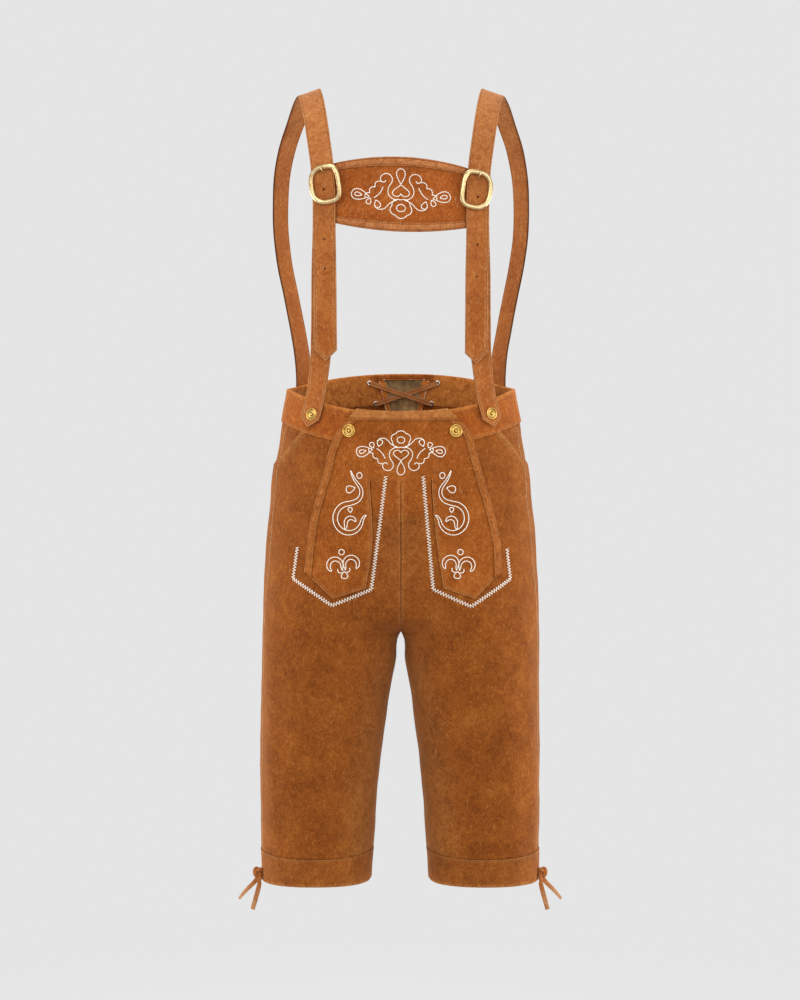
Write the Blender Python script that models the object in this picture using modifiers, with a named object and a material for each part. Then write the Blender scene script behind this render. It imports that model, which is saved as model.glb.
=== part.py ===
"""Lederhosen: knee-length suede breeches with braces, standing open as if they were worn.

Metres, +Z up.  The front faces -Y and +X is the wearer's left.  The origin lies between the two
shoulder straps, at the height where the shoulders carry them.  A cloth piece is an open surface
that Solidify turns to a wall; what lies on a panel is made from the panel's surface, moved out.
"""

import math
from collections import namedtuple

import bmesh
import bpy
import numpy as np
from mathutils import Matrix, Vector

# ---------------------------------------------------------------- driving dimensions, in metres
SUEDE = 0.0020
BAND = 0.0016
TRIM = 0.0011
STRAP_THICKNESS = 0.0025
GUSSET_THICKNESS = 0.0012
SEAM_GAP = 0.0004
LAY_GAP = 0.00035

WAIST_HEIGHT = -0.4000
WAIST_FRONT_DROP = 0.0323
WAIST_BACK_RISE = 0.0214
WAISTBAND_HEIGHT = 0.0450
TILT_ENDS = -0.6000
HEM_BAND_TOP = -1.0145
HEM_BAND_DROP = 0.0090
HEM_HEIGHT = -1.0625
HEM_DROP_END = -0.9750
ROUNDNESS = 2.4
SIDE_SEAM_ANGLE = math.radians(17)
SIDE_SEAM_RADIUS = 0.1000
NORMAL_STEP = 0.0040
NORMAL_TURN = 0.03

GUSSET_TOP_WIDTH = 0.0750
GUSSET_TOP = -0.3786
GUSSET_POINT = -0.5300
GUSSET_OVERLAP = 0.0040
GUSSET_LOWERING = 0.0025
GUSSET_INSET = SUEDE + LAY_GAP + 0.0002
GUSSET_ROWS = 7
GUSSET_COLUMNS = 9

STRAP_WIDTH = 0.0305
LOWER_STRAP_WIDTH = 0.0240
STRAP_POINT = 0.0125
LOWER_STRAP_POINT = 0.0106

# The two body halves: how far out and in each leg reaches, and how deep it is in front and behind.
# Where "inner" is negative the leg's ring runs past the centre plane, which cuts it.
Section = namedtuple("Section", "height outer inner front back")
SECTIONS = (
    Section(-0.3600, 0.1490, -0.1490, 0.1035, 0.1030),
    Section(-0.4000, 0.1519, -0.1519, 0.1045, 0.1050),
    Section(-0.4410, 0.1593, -0.1593, 0.1065, 0.1100),
    Section(-0.4776, 0.1650, -0.1650, 0.1085, 0.1155),
    Section(-0.5450, 0.1747, -0.1747, 0.1105, 0.1265),
    Section(-0.5776, 0.1784, -0.1700, 0.1105, 0.1310),
    Section(-0.6316, 0.1826, -0.1180, 0.1095, 0.1335),
    Section(-0.6700, 0.1852, -0.0700, 0.1080, 0.1320),
    Section(-0.7000, 0.1862, -0.0320, 0.1065, 0.1295),
    Section(-0.7180, 0.1866, -0.0105, 0.1055, 0.1270),
    Section(-0.7275, 0.1868, 0.0000, 0.1050, 0.1255),
    Section(-0.7360, 0.1869, 0.0040, 0.1045, 0.1240),
    Section(-0.7640, 0.1870, 0.0069, 0.1030, 0.1195),
    Section(-0.8017, 0.1873, 0.0134, 0.1005, 0.1140),
    Section(-0.8746, 0.1880, 0.0235, 0.0940, 0.1045),
    Section(-0.9367, 0.1880, 0.0306, 0.0885, 0.0975),
    Section(-1.0136, 0.1868, 0.0360, 0.0835, 0.0905),
    Section(-1.0625, 0.1855, 0.0400, 0.0810, 0.0870),
)

# Heights of the rows of a panel at the side seam.
PANEL_ROWS = (
    -0.4000, -0.4225, -0.4450, -0.4800, -0.5170, -0.5540, -0.5900, -0.6230, -0.6520, -0.6770,
    -0.6980, -0.7130, -0.7225, -0.7275, -0.7305, -0.7400, -0.7650, -0.8000, -0.8350, -0.8700,
    -0.9060, -0.9420, -0.9790, -1.0145, -1.0385, -1.0625,
)
# A panel is one cut piece; it is held as a hip wall and a leg wall, parted at the crotch.
CROTCH_HEIGHT = -0.7275
HIP_ROWS = tuple(row for row in PANEL_ROWS if row > CROTCH_HEIGHT) + (CROTCH_HEIGHT + SEAM_GAP / 2,)
LEG_ROWS = (CROTCH_HEIGHT - SEAM_GAP / 2,) + tuple(row for row in PANEL_ROWS if row < CROTCH_HEIGHT)
PANEL_COLUMNS = 12
NARROW_COLUMN = 0.03
WAISTBAND_ROWS = PANEL_ROWS[:3]
HEM_BAND_ROWS = PANEL_ROWS[-3:]

# Soft folds that the hanging suede keeps.  Angles go from 0 at the side, through 90 at the middle
# of the front or -90 of the back, to 180 at the inner leg; side is 1 left, -1 right, 0 both.
Fold = namedtuple("Fold", "side height angle length width slant depth")
FOLDS = (
    Fold(0, -0.6950, 118, 0.085, 0.020, -38, -0.0040),
    Fold(1, -0.7450, 132, 0.070, 0.018, -52, -0.0032),
    Fold(-1, -0.7550, 128, 0.075, 0.018, -47, -0.0035),
    Fold(1, -0.8800, 38, 0.150, 0.017, 3, 0.0028),
    Fold(-1, -0.8500, 42, 0.165, 0.018, -4, 0.0030),
    Fold(1, -0.9000, 92, 0.120, 0.022, 6, -0.0025),
    Fold(-1, -0.9250, 98, 0.110, 0.022, -5, -0.0022),
    Fold(0, -0.7450, -100, 0.060, 0.027, 72, -0.0040),
    Fold(1, -0.8650, -105, 0.055, 0.026, 78, -0.0034),
    Fold(-1, -0.8800, -100, 0.055, 0.026, 80, -0.0036),
    Fold(1, -0.9400, -85, 0.050, 0.024, 70, -0.0026),
    Fold(-1, -0.9500, -90, 0.050, 0.024, 74, -0.0026),
    Fold(0, -0.6400, -58, 0.090, 0.022, -20, -0.0032),
    Fold(0, -0.8300, -35, 0.160, 0.020, 2, 0.0030),
)
FOLD_RADIUS = 0.0900
FOLD_FADE = 0.0300

# The flap's outer edges, left and right of the centre, by height; and its two inner edges below
# the fork.
FlapEdge = namedtuple("FlapEdge", "height right left")
FLAP_OUTER = (
    FlapEdge(-0.4318, 0.0573, 0.0603),
    FlapEdge(-0.4405, 0.0675, 0.0725),
    FlapEdge(-0.4493, 0.0756, 0.0817),
    FlapEdge(-0.4585, 0.0829, 0.0893),
    FlapEdge(-0.4768, 0.0912, 0.0955),
    FlapEdge(-0.5083, 0.0990, 0.1043),
    FlapEdge(-0.5700, 0.1165, 0.1222),
    FlapEdge(-0.6080, 0.1222, 0.1300),
    FlapEdge(-0.6450, 0.1262, 0.1318),
)
FLAP_INNER = (
    FlapEdge(-0.4318, 0.0400, 0.0400),
    FlapEdge(-0.5214, 0.0402, 0.0398),
    FlapEdge(-0.6080, 0.0375, 0.0470),
    FlapEdge(-0.6650, 0.0462, 0.0560),
)
# Bottom edge of a lobe by its share of the width, from the outer corner through the point.
LobeEdge = namedtuple("LobeEdge", "share height")
LOBE_BOTTOM = (
    LobeEdge(0.00, -0.6420),
    LobeEdge(0.46, -0.6775),
    LobeEdge(1.00, -0.6635),
)
FLAP_FORK = -0.5214
FLAP_UPPER_ROWS = (-0.4322, -0.4382, -0.4442, -0.4530, -0.4640, -0.4790, -0.4990, -0.5214)
FLAP_LOBE_STEPS = (0.18, 0.38, 0.58, 0.79, 1.00)
FLAP_SHARES = (0.0, 0.12, 0.28, 0.46, 0.64, 0.82, 1.0)
FLAP_MIDDLE = (-0.5, 0.0, 0.5)
FLAP_LIFT_TOP = 0.0026
FLAP_LIFT_LOBE = 0.0010
FLAP_LIFT_START = -0.4900
FLAP_LIFT_END = -0.5600

# Braces, on the wearer's left: centre of the inner face, and the way its outer face looks.
StrapPoint = namedtuple("StrapPoint", "x y z face_x face_y face_z")
SHOULDER_STRAP = (
    StrapPoint(0.0985, -0.1034, -0.3500, 0.30, -0.95, 0.00),
    StrapPoint(0.0988, -0.1102, -0.3000, 0.29, -0.96, 0.00),
    StrapPoint(0.0991, -0.1142, -0.2450, 0.29, -0.96, 0.00),
    StrapPoint(0.0993, -0.1155, -0.2000, 0.29, -0.96, 0.00),
    StrapPoint(0.1000, -0.1156, -0.1400, 0.29, -0.96, 0.02),
    StrapPoint(0.1023, -0.1138, -0.1100, 0.29, -0.94, 0.12),
    StrapPoint(0.1067, -0.1045, -0.0790, 0.30, -0.86, 0.40),
    StrapPoint(0.1125, -0.0820, -0.0430, 0.32, -0.66, 0.68),
    StrapPoint(0.1185, -0.0480, -0.0165, 0.33, -0.36, 0.87),
    StrapPoint(0.1238, -0.0080, -0.0060, 0.34, 0.00, 0.94),
    StrapPoint(0.1325, 0.0290, -0.0155, 0.42, 0.36, 0.83),
    StrapPoint(0.1428, 0.0560, -0.0390, 0.54, 0.56, 0.62),
    StrapPoint(0.1560, 0.0790, -0.0740, 0.66, 0.64, 0.38),
    StrapPoint(0.1630, 0.0910, -0.1080, 0.74, 0.65, 0.18),
    StrapPoint(0.1655, 0.0990, -0.1450, 0.77, 0.63, 0.05),
    StrapPoint(0.1648, 0.1030, -0.1850, 0.78, 0.62, 0.00),
    StrapPoint(0.1600, 0.1030, -0.2250, 0.78, 0.62, 0.00),
    StrapPoint(0.1510, 0.0985, -0.2700, 0.78, 0.62, -0.04),
    StrapPoint(0.1410, 0.0895, -0.3200, 0.77, 0.64, -0.06),
    StrapPoint(0.1335, 0.0775, -0.3650, 0.75, 0.66, -0.04),
    StrapPoint(0.1315, 0.0710, -0.3950, 0.72, 0.69, -0.05),
)
STRAP_FRONT_Y = -0.0500
STRAP_SEAT_X = 0.1300
SEAT_LIFT = BAND + 2 * LAY_GAP + 0.0003
STRAP_SEAT_HEIGHTS = (-0.4180, -0.4370)

LOWER_STRAP = (
    StrapPoint(0.1100, -0.0880, -0.3900, 0.50, -0.86, 0.00),
    StrapPoint(0.1072, -0.0930, -0.3660, 0.42, -0.90, 0.00),
    StrapPoint(0.1040, -0.1035, -0.3000, 0.33, -0.94, 0.00),
    StrapPoint(0.1020, -0.1090, -0.2450, 0.30, -0.95, 0.00),
    StrapPoint(0.1005, -0.1113, -0.2000, 0.29, -0.96, 0.00),
    StrapPoint(0.1000, -0.1118, -0.1250, 0.29, -0.96, 0.00),
)
LowerSeat = namedtuple("LowerSeat", "x height")
LOWER_STRAP_SEAT = (
    LowerSeat(0.1172, -0.4420),
    LowerSeat(0.1155, -0.4300),
    LowerSeat(0.1132, -0.4190),
)
STRAP_STEP = 0.0200

CHEST_HALF_WIDTH = 0.1120
CHEST_FRONT = -0.1250
CHEST_ROUND = 0.0150
CHEST_ROUND_X = 0.1040
CHEST_ROUND_POWER = 2.2
CHEST_TOP = -0.1015
CHEST_BOTTOM = -0.1983
CHEST_EDGE_X = 0.0885
CHEST_TOP_FALL = 0.0110
CHEST_BOTTOM_RISE = 0.0090
CHEST_TILT = -0.0380
CHEST_BORDER = 0.0120
CHEST_BORDER_REACH = 0.0840
CHEST_BORDER_LIFT = LAY_GAP + 0.0002
CHEST_MIDDLE_ROWS = (0.37, 0.63)
CHEST_COLUMNS = 15

BUCKLE_HALF_WIDTH = 0.0187
BUCKLE_HALF_HEIGHT = 0.0228
BUCKLE_WIRE = 0.0030
BUCKLE_HEIGHTS = {"left": -0.1425, "right": -0.1355}
BUCKLE_LEAN = math.radians(9)
BUCKLE_SHIFT = 0.0015
BUCKLE_CLEARANCE = 0.0009
BUCKLE_POINTS = 24
BUCKLE_OUTER_POWER = 2 / 2.5
BUCKLE_INNER_POWER = 2 / 3.6
PRONG_RADIUS = 0.0012
# The prong's tip, from inside the frame over its top bar, in wire radii from that bar's middle.
ProngPoint = namedtuple("ProngPoint", "below out")
PRONG_ROUTE = (
    ProngPoint(2.50, -0.50),
    ProngPoint(1.80, 0.30),
    ProngPoint(1.20, 1.15),
    ProngPoint(0.60, 1.54),
    ProngPoint(0.00, 1.64),
    ProngPoint(-0.50, 1.58),
)

FLAP_BUTTON_RADIUS = 0.0086
WAIST_BUTTON_RADIUS = 0.0074
ButtonPlace = namedtuple("ButtonPlace", "name x height radius lift")
BUTTONS = (
    ButtonPlace("waist_button_left", 0.1160, -0.4345, WAIST_BUTTON_RADIUS, 0.0056),
    ButtonPlace("waist_button_right", -0.1160, -0.4345, WAIST_BUTTON_RADIUS, 0.0056),
    ButtonPlace("flap_button_left", 0.0706, -0.4572, FLAP_BUTTON_RADIUS, 0.0047),
    ButtonPlace("flap_button_right", -0.0668, -0.4572, FLAP_BUTTON_RADIUS, 0.0047),
)
# A button's turned face, from the middle to the rim, as shares of its radius.
ButtonRing = namedtuple("ButtonRing", "radius height")
BUTTON_PROFILE = (
    ButtonRing(0.00, 0.36),
    ButtonRing(0.14, 0.30),
    ButtonRing(0.22, 0.18),
    ButtonRing(0.46, 0.18),
    ButtonRing(0.58, 0.27),
    ButtonRing(0.72, 0.17),
    ButtonRing(0.88, 0.27),
    ButtonRing(1.00, 0.15),
    ButtonRing(0.94, 0.00),
    ButtonRing(0.00, 0.00),
)
BUTTON_STEPS = 18
BUTTON_MERGE = 0.00005

LACE_WIDTH = 0.0052
LACE_THICKNESS = 0.0014
LACE_STAND_OFF = 0.0024
LACE_BOWS = {"left": 0.0010, "right": 0.0034}
LACE_STATIONS = 5
LACE_STEP = 0.0120
EYELET_RADIUS = 0.0026
EYELET_WIRE = 0.0008
EYELET_POINTS = 12
EYELET_HEIGHTS = (-0.3915, -0.4195)
EYELET_XS = (0.0475, 0.0385)

POCKET_STRIP = 0.0100
POCKET_TOP_ANGLE = math.radians(43)
POCKET_TOP_HEIGHT = -0.4600
POCKET_END_ANGLE = math.radians(19)
POCKET_END_HEIGHT = -0.5000
POCKET_LIFT = LAY_GAP + 0.0004
POCKET_AROUND = 0.75 / 0.1400
POCKET_DOWN = 0.65
POCKET_STATIONS = 7

KNOT_SIZE = Vector((0.0095, 0.0095, 0.0150))
KNOT_HEIGHT = -1.0520
TIE_WIDTH = 0.0044
TiePoint = namedtuple("TiePoint", "out forward down")
# Tails of a hem tie, from the middle of its knot.
TIE_TAILS = {
    "outer": (
        TiePoint(0.0017, -0.0004, 0.0077),
        TiePoint(0.0045, 0.0020, 0.0130),
        TiePoint(0.0105, 0.0060, 0.0195),
        TiePoint(0.0175, 0.0085, 0.0265),
        TiePoint(0.0250, 0.0100, 0.0340),
    ),
    "inner": (
        TiePoint(-0.0014, 0.0034, 0.0069),
        TiePoint(-0.0004, 0.0070, 0.0160),
        TiePoint(0.0034, 0.0092, 0.0265),
        TiePoint(0.0075, 0.0085, 0.0370),
        TiePoint(0.0085, 0.0070, 0.0470),
    ),
}
TAIL_STEP = 0.0050

SIDES = {"left": 1, "right": -1}


# ---------------------------------------------------------------- scene, materials and helpers
def clear_scene():
    for thing in list(bpy.data.objects):
        bpy.data.objects.remove(thing, do_unlink=True)


def make_material(name, colour, roughness, metallic=0.0):
    material = bpy.data.materials.new(name)
    material.use_nodes = True
    shader = material.node_tree.nodes["Principled BSDF"]
    shader.inputs["Base Color"].default_value = (*colour, 1.0)
    shader.inputs["Roughness"].default_value = roughness
    shader.inputs["Metallic"].default_value = metallic
    return material


clear_scene()
collection = bpy.data.collections.new("lederhosen")
bpy.context.scene.collection.children.link(collection)
SUEDE_BROWN = make_material("suede_brown", (0.30, 0.095, 0.022), 0.92)
SUEDE_STRAP = make_material("suede_strap", (0.40, 0.150, 0.040), 0.90)
SUEDE_TRIM = make_material("suede_trim", (0.35, 0.115, 0.028), 0.90)
BRASS = make_material("brass", (0.72, 0.50, 0.16), 0.32, 1.0)
NICKEL = make_material("nickel", (0.62, 0.61, 0.58), 0.30, 1.0)
OLIVE_CLOTH = make_material("olive_cloth", (0.075, 0.060, 0.035), 0.95)


def add_object(name, mesh, material):
    thing = bpy.data.objects.new(name, mesh)
    collection.objects.link(thing)
    thing.data.materials.append(material)
    return thing


def smooth_lookup(knots, values, place):
    """Read a curve that passes smoothly through values at the rising knots."""
    slopes = np.gradient(values, knots)
    index = int(np.clip(np.searchsorted(knots, place) - 1, 0, len(knots) - 2))
    span = knots[index + 1] - knots[index]
    share = min(max((place - knots[index]) / span, 0.0), 1.0)
    square = share * share
    cube = square * share
    return float(
        (2 * cube - 3 * square + 1) * values[index]
        + (cube - 2 * square + share) * span * slopes[index]
        + (3 * square - 2 * cube) * values[index + 1]
        + (cube - square) * span * slopes[index + 1]
    )


def smooth_step(start, end, value):
    share = min(max((value - start) / (end - start), 0.0), 1.0)
    return share * share * (3 - 2 * share)


def signed_power(value, power):
    return math.copysign(abs(value) ** power, value)


# ---------------------------------------------------------------- the body's surface
SECTION_HEIGHTS = np.array([row.height for row in reversed(SECTIONS)])
SECTION_VALUES = {
    field: np.array([getattr(row, field) for row in reversed(SECTIONS)])
    for field in ("outer", "inner", "front", "back")
}


def section(height, field):
    return smooth_lookup(SECTION_HEIGHTS, SECTION_VALUES[field], height)


def ring_centre(height):
    outer = section(height, "outer")
    inner = max(section(height, "inner"), -outer)
    return (outer + inner) / 2, (outer - inner) / 2


def ring_depth(height, angle):
    return section(height, "front" if angle > 0 else "back")


def fold_relief(side, height, angle):
    relief = 0.0
    for fold in FOLDS:
        if fold.side in (0, side):
            around = (angle - math.radians(fold.angle)) * FOLD_RADIUS
            drop = height - fold.height
            slant = math.radians(fold.slant)
            along = drop * math.cos(slant) + around * math.sin(slant)
            across = around * math.cos(slant) - drop * math.sin(slant)
            relief += fold.depth * math.exp(-((across / fold.width) ** 2) - (along / fold.length) ** 4)
    return relief


def bare_point(side, height, angle):
    """A point of the leg's ring, before its folds; angles run from the side to the inner leg."""
    centre, half = ring_centre(height)
    depth = ring_depth(height, angle)
    x = centre + half * signed_power(math.cos(angle), 2 / ROUNDNESS)
    y = -depth * signed_power(math.sin(angle), 2 / ROUNDNESS)
    return Vector((side * x, y, height))


def surface_normal(side, height, angle):
    down = bare_point(side, height - NORMAL_STEP, angle) - bare_point(side, height + NORMAL_STEP, angle)
    around = bare_point(side, height, angle + NORMAL_TURN) - bare_point(side, height, angle - NORMAL_TURN)
    normal = down.cross(around).normalized()
    centre, _ = ring_centre(height)
    away = bare_point(side, height, angle) - Vector((side * centre, 0.0, height))
    if normal.dot(away) < 0:
        normal.negate()
    return normal


def surface_point(side, height, angle, lift=0.0):
    """A point on the outside of the panels, moved out by lift, and the way the surface looks."""
    normal = surface_normal(side, height, angle)
    place = bare_point(side, height, angle)
    relief = fold_relief(side, height, angle) * smooth_step(0.0, FOLD_FADE, abs(place.x))
    return place + normal * (relief + lift), normal


def row_height(base, angle):
    """The waist dips in front and rises behind; the hem band's seam drops at both middles."""
    middle = math.sin(angle) ** 2
    waist_share = smooth_step(TILT_ENDS, WAIST_HEIGHT - WAISTBAND_HEIGHT, base)
    waist_tilt = -WAIST_FRONT_DROP if angle > 0 else WAIST_BACK_RISE
    above_band = smooth_step(HEM_BAND_TOP, HEM_DROP_END, base)
    hem_share = smooth_step(HEM_HEIGHT, HEM_BAND_TOP, base) * (1 - above_band)
    return base + middle * (waist_tilt * waist_share - HEM_BAND_DROP * hem_share)


def gusset_half_width(height):
    share = (height - GUSSET_POINT) / (GUSSET_TOP - GUSSET_POINT)
    return GUSSET_TOP_WIDTH / 2 * share


def edge_angle(height, face, edge_x):
    """The angle at which a ring meets the centre plane, the gusset's edge or the inseam."""
    centre, half = ring_centre(height)
    if centre - half > SEAM_GAP / 2:
        depth = section(height, face)
        return math.pi - math.asin((SEAM_GAP / 2 / depth) ** (ROUNDNESS / 2))
    return math.acos(signed_power((edge_x - centre) / half, ROUNDNESS / 2))


def angle_at(height, x):
    centre, half = ring_centre(height)
    share = min(max((abs(x) - centre) / half, -1.0), 1.0)
    return math.acos(signed_power(share, ROUNDNESS / 2))


def column_shares(count):
    """Even columns with a narrow one at each seam, so that the walls meet edge to edge."""
    inner = np.linspace(0.0, 1.0, count - 1)[1:-1]
    return [0.0, NARROW_COLUMN, *inner, 1 - NARROW_COLUMN, 1.0]


def panel_angles(base, face):
    sign = 1 if face == "front" else -1
    height = row_height(base, sign * math.pi / 2)
    if face == "front":
        edge_x = SEAM_GAP / 2
    else:
        edge_x = max(SEAM_GAP / 2, gusset_half_width(height))
    start = sign * edge_angle(height, face, edge_x)
    gap_angle = SEAM_GAP / 2 / SIDE_SEAM_RADIUS
    end = SIDE_SEAM_ANGLE + sign * gap_angle
    return [start + (end - start) * share for share in column_shares(PANEL_COLUMNS)]


def panel_grid(side, face, bases, lift=0.0):
    """Points and outward directions of a panel between its centre or inner edge and its side seam."""
    points = []
    normals = []
    for base in bases:
        angles = panel_angles(base, face)
        row = [surface_point(side, row_height(base, angle), angle, lift) for angle in angles]
        points.append([point for point, _ in row])
        normals.append([normal for _, normal in row])
    return points, normals


# ---------------------------------------------------------------- walls, ribbons and wires
def make_wall(name, points, normals, thickness, grow, material, keep=None):
    """A grid of points made a wall: grow -1 puts its thickness inside the points, 1 outside."""
    shape = bmesh.new()
    corners = [[shape.verts.new(point) for point in row] for row in points]
    for row in range(len(points) - 1):
        for column in range(len(points[0]) - 1):
            if keep is None or keep(row, column):
                shape.faces.new((
                    corners[row][column],
                    corners[row + 1][column],
                    corners[row + 1][column + 1],
                    corners[row][column + 1],
                ))
    loose = [corner for corner in shape.verts if not corner.link_faces]
    bmesh.ops.delete(shape, geom=loose, context="VERTS")
    shape.normal_update()
    shape.faces.ensure_lookup_table()
    if shape.faces[0].normal.dot(normals[0][0]) < 0:
        bmesh.ops.reverse_faces(shape, faces=shape.faces[:])
    mesh = bpy.data.meshes.new(name)
    shape.to_mesh(mesh)
    shape.free()
    mesh.shade_smooth()
    thing = add_object(name, mesh, material)
    solidify = thing.modifiers.new("wall", "SOLIDIFY")
    solidify.thickness = thickness
    solidify.offset = grow
    return thing


def join_grids(first, second):
    """Two grids side by side: the second's columns follow the first's."""
    points = [left + right for left, right in zip(first[0], second[0])]
    normals = [left + right for left, right in zip(first[1], second[1])]
    return points, normals


def resample(route, step):
    """Even stations along a smooth curve through a route's rows, every column read alike."""
    table = np.array(route, dtype=float)
    gaps = np.linalg.norm(np.diff(table[:, :3], axis=0), axis=1)
    knots = np.concatenate(([0.0], np.cumsum(gaps)))
    count = max(3, int(math.ceil(knots[-1] / step)) + 1)
    stations = np.linspace(0.0, knots[-1], count)
    columns = [[smooth_lookup(knots, column, place) for place in stations] for column in table.T]
    return np.array(columns).T


def ribbon_grid(route, step, width, point_start=0.0, point_end=0.0):
    """A flat strap along a route whose rows give its place and the way its outer face looks."""
    rows = resample(route, step)
    places = [Vector(row[:3]) for row in rows]
    points = []
    normals = []
    last = len(places) - 1
    for index, place in enumerate(places):
        ahead = places[min(index + 1, last)] - places[max(index - 1, 0)]
        ahead.normalize()
        across = ahead.cross(Vector(rows[index][3:6])).normalized()
        normal = across.cross(ahead).normalized()
        middle = place.copy()
        if index == 0:
            middle -= ahead * point_start
        if index == last:
            middle += ahead * point_end
        points.append([place - across * width / 2, middle, place + across * width / 2])
        normals.append([normal] * 3)
    return points, normals


def mirrored(route):
    """The same route on the wearer's right."""
    return [type(row)(-row.x, row.y, row.z, -row.face_x, row.face_y, row.face_z) for row in route]


def make_wire(name, points, radius, material, closed=False, sides=2):
    curve = bpy.data.curves.new(name, "CURVE")
    curve.dimensions = "3D"
    curve.bevel_depth = radius
    curve.bevel_resolution = sides
    curve.use_fill_caps = not closed
    spline = curve.splines.new("POLY")
    spline.points.add(len(points) - 1)
    for spot, point in zip(spline.points, points):
        spot.co = (*point, 1.0)
    spline.use_cyclic_u = closed
    spline.use_smooth = True
    return add_object(name, curve, material)


def frame_matrix(place, across, normal):
    """Local X along across, local Z out along the normal."""
    across = (across - normal * across.dot(normal)).normalized()
    up = normal.cross(across)
    matrix = Matrix((across, up, normal)).transposed().to_4x4()
    matrix.translation = place
    return matrix


# ---------------------------------------------------------------- legs, seat and bands
def make_panels():
    for side_name, side in SIDES.items():
        for face in ("front", "back"):
            for level, rows in (("hip", HIP_ROWS), ("leg", LEG_ROWS)):
                points, normals = panel_grid(side, face, rows)
                make_wall(f"{face}_{level}_{side_name}", points, normals, SUEDE, -1, SUEDE_BROWN)
            points, normals = panel_grid(side, face, WAISTBAND_ROWS, LAY_GAP)
            make_wall(f"waistband_{face}_{side_name}", points, normals, BAND, 1, SUEDE_TRIM)


def make_hem_bands():
    """One strip round each leg, its ends meeting at the inseam."""
    for side_name, side in SIDES.items():
        front = panel_grid(side, "front", HEM_BAND_ROWS, LAY_GAP)
        back = panel_grid(side, "back", HEM_BAND_ROWS, LAY_GAP)
        back = tuple([row[-2::-1] for row in grid] for grid in back)
        points, normals = join_grids(front, back)
        make_wall(f"hem_band_{side_name}", points, normals, BAND, 1, SUEDE_TRIM)


def make_pocket_edges():
    """A strip along each slanted pocket mouth, from the waistband down to the side seam."""
    for side_name, side in SIDES.items():
        points = []
        normals = []
        for share in np.linspace(0.0, 1.0, POCKET_STATIONS):
            angle = POCKET_TOP_ANGLE + (POCKET_END_ANGLE - POCKET_TOP_ANGLE) * share
            height = POCKET_TOP_HEIGHT + (POCKET_END_HEIGHT - POCKET_TOP_HEIGHT) * share
            row = []
            for inward in (0.0, POCKET_STRIP):
                shifted = angle + inward * POCKET_AROUND
                row.append(surface_point(side, height - inward * POCKET_DOWN, shifted, POCKET_LIFT))
            points.append([point for point, _ in row])
            normals.append([normal for _, normal in row])
        make_wall(f"pocket_edge_{side_name}", points, normals, TRIM, 1, SUEDE_TRIM)


def make_gusset():
    """A V of cloth inside the split at the centre back."""
    points = []
    normals = []
    for share in np.linspace(0.0, 1.0, GUSSET_ROWS):
        height = GUSSET_TOP - GUSSET_LOWERING + (GUSSET_POINT - GUSSET_TOP) * share
        half = max(gusset_half_width(height), 0.0) + GUSSET_OVERLAP
        row = []
        for across in np.linspace(-1.0, 1.0, GUSSET_COLUMNS):
            x = half * across
            side = 1 if x >= 0 else -1
            row.append(surface_point(side, height, -angle_at(height, x), -GUSSET_INSET))
        points.append([point for point, _ in row])
        normals.append([normal for _, normal in row])
    make_wall("back_gusset", points, normals, GUSSET_THICKNESS, -1, OLIVE_CLOTH)


# ---------------------------------------------------------------- the front flap
FLAP_EDGE_HEIGHTS = np.array([row.height for row in reversed(FLAP_OUTER)])
FLAP_INNER_HEIGHTS = np.array([row.height for row in reversed(FLAP_INNER)])


def flap_edge(table, heights, side_name, height):
    values = np.array([getattr(row, side_name) for row in reversed(table)])
    return smooth_lookup(heights, values, height)


def flap_x(side_name, height, share):
    outer = flap_edge(FLAP_OUTER, FLAP_EDGE_HEIGHTS, side_name, height)
    inner = flap_edge(FLAP_INNER, FLAP_INNER_HEIGHTS, side_name, height)
    return SIDES[side_name] * (outer + (inner - outer) * share)


def flap_lift(height):
    """The flap lies over the waistband at its top and settles on the panels below it."""
    share = smooth_step(FLAP_LIFT_END, FLAP_LIFT_START, height)
    return FLAP_LIFT_LOBE + (FLAP_LIFT_TOP - FLAP_LIFT_LOBE) * share


def front_point(x, height, lift):
    side = 1 if x >= 0 else -1
    return surface_point(side, height, angle_at(height, x), lift)


def lobe_bottom(share):
    shares = np.array([row.share for row in LOBE_BOTTOM])
    heights = np.array([row.height for row in LOBE_BOTTOM])
    return float(np.interp(share, shares, heights))


def flap_row(step, extra=0.0):
    """One row of the flap: a height above the fork, or a share of the way down the lobes."""
    row = []
    for side_name, shares in (("right", FLAP_SHARES), ("left", tuple(reversed(FLAP_SHARES)))):
        for share in shares:
            if step < 0:
                height = step
            else:
                height = FLAP_FORK + (lobe_bottom(share) - FLAP_FORK) * step
            x = flap_x(side_name, height, share)
            row.append(front_point(x, height, flap_lift(height) + extra))
        if side_name == "right":
            height = step if step < 0 else FLAP_FORK
            for across in FLAP_MIDDLE:
                x = across * abs(flap_x("right", height, 1.0))
                row.append(front_point(x, height, flap_lift(height) + extra))
    return row


def flap_grid(steps, extra=0.0):
    rows = [flap_row(step, extra) for step in steps]
    points = [[point for point, _ in row] for row in rows]
    normals = [[normal for _, normal in row] for row in rows]
    return points, normals


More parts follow.
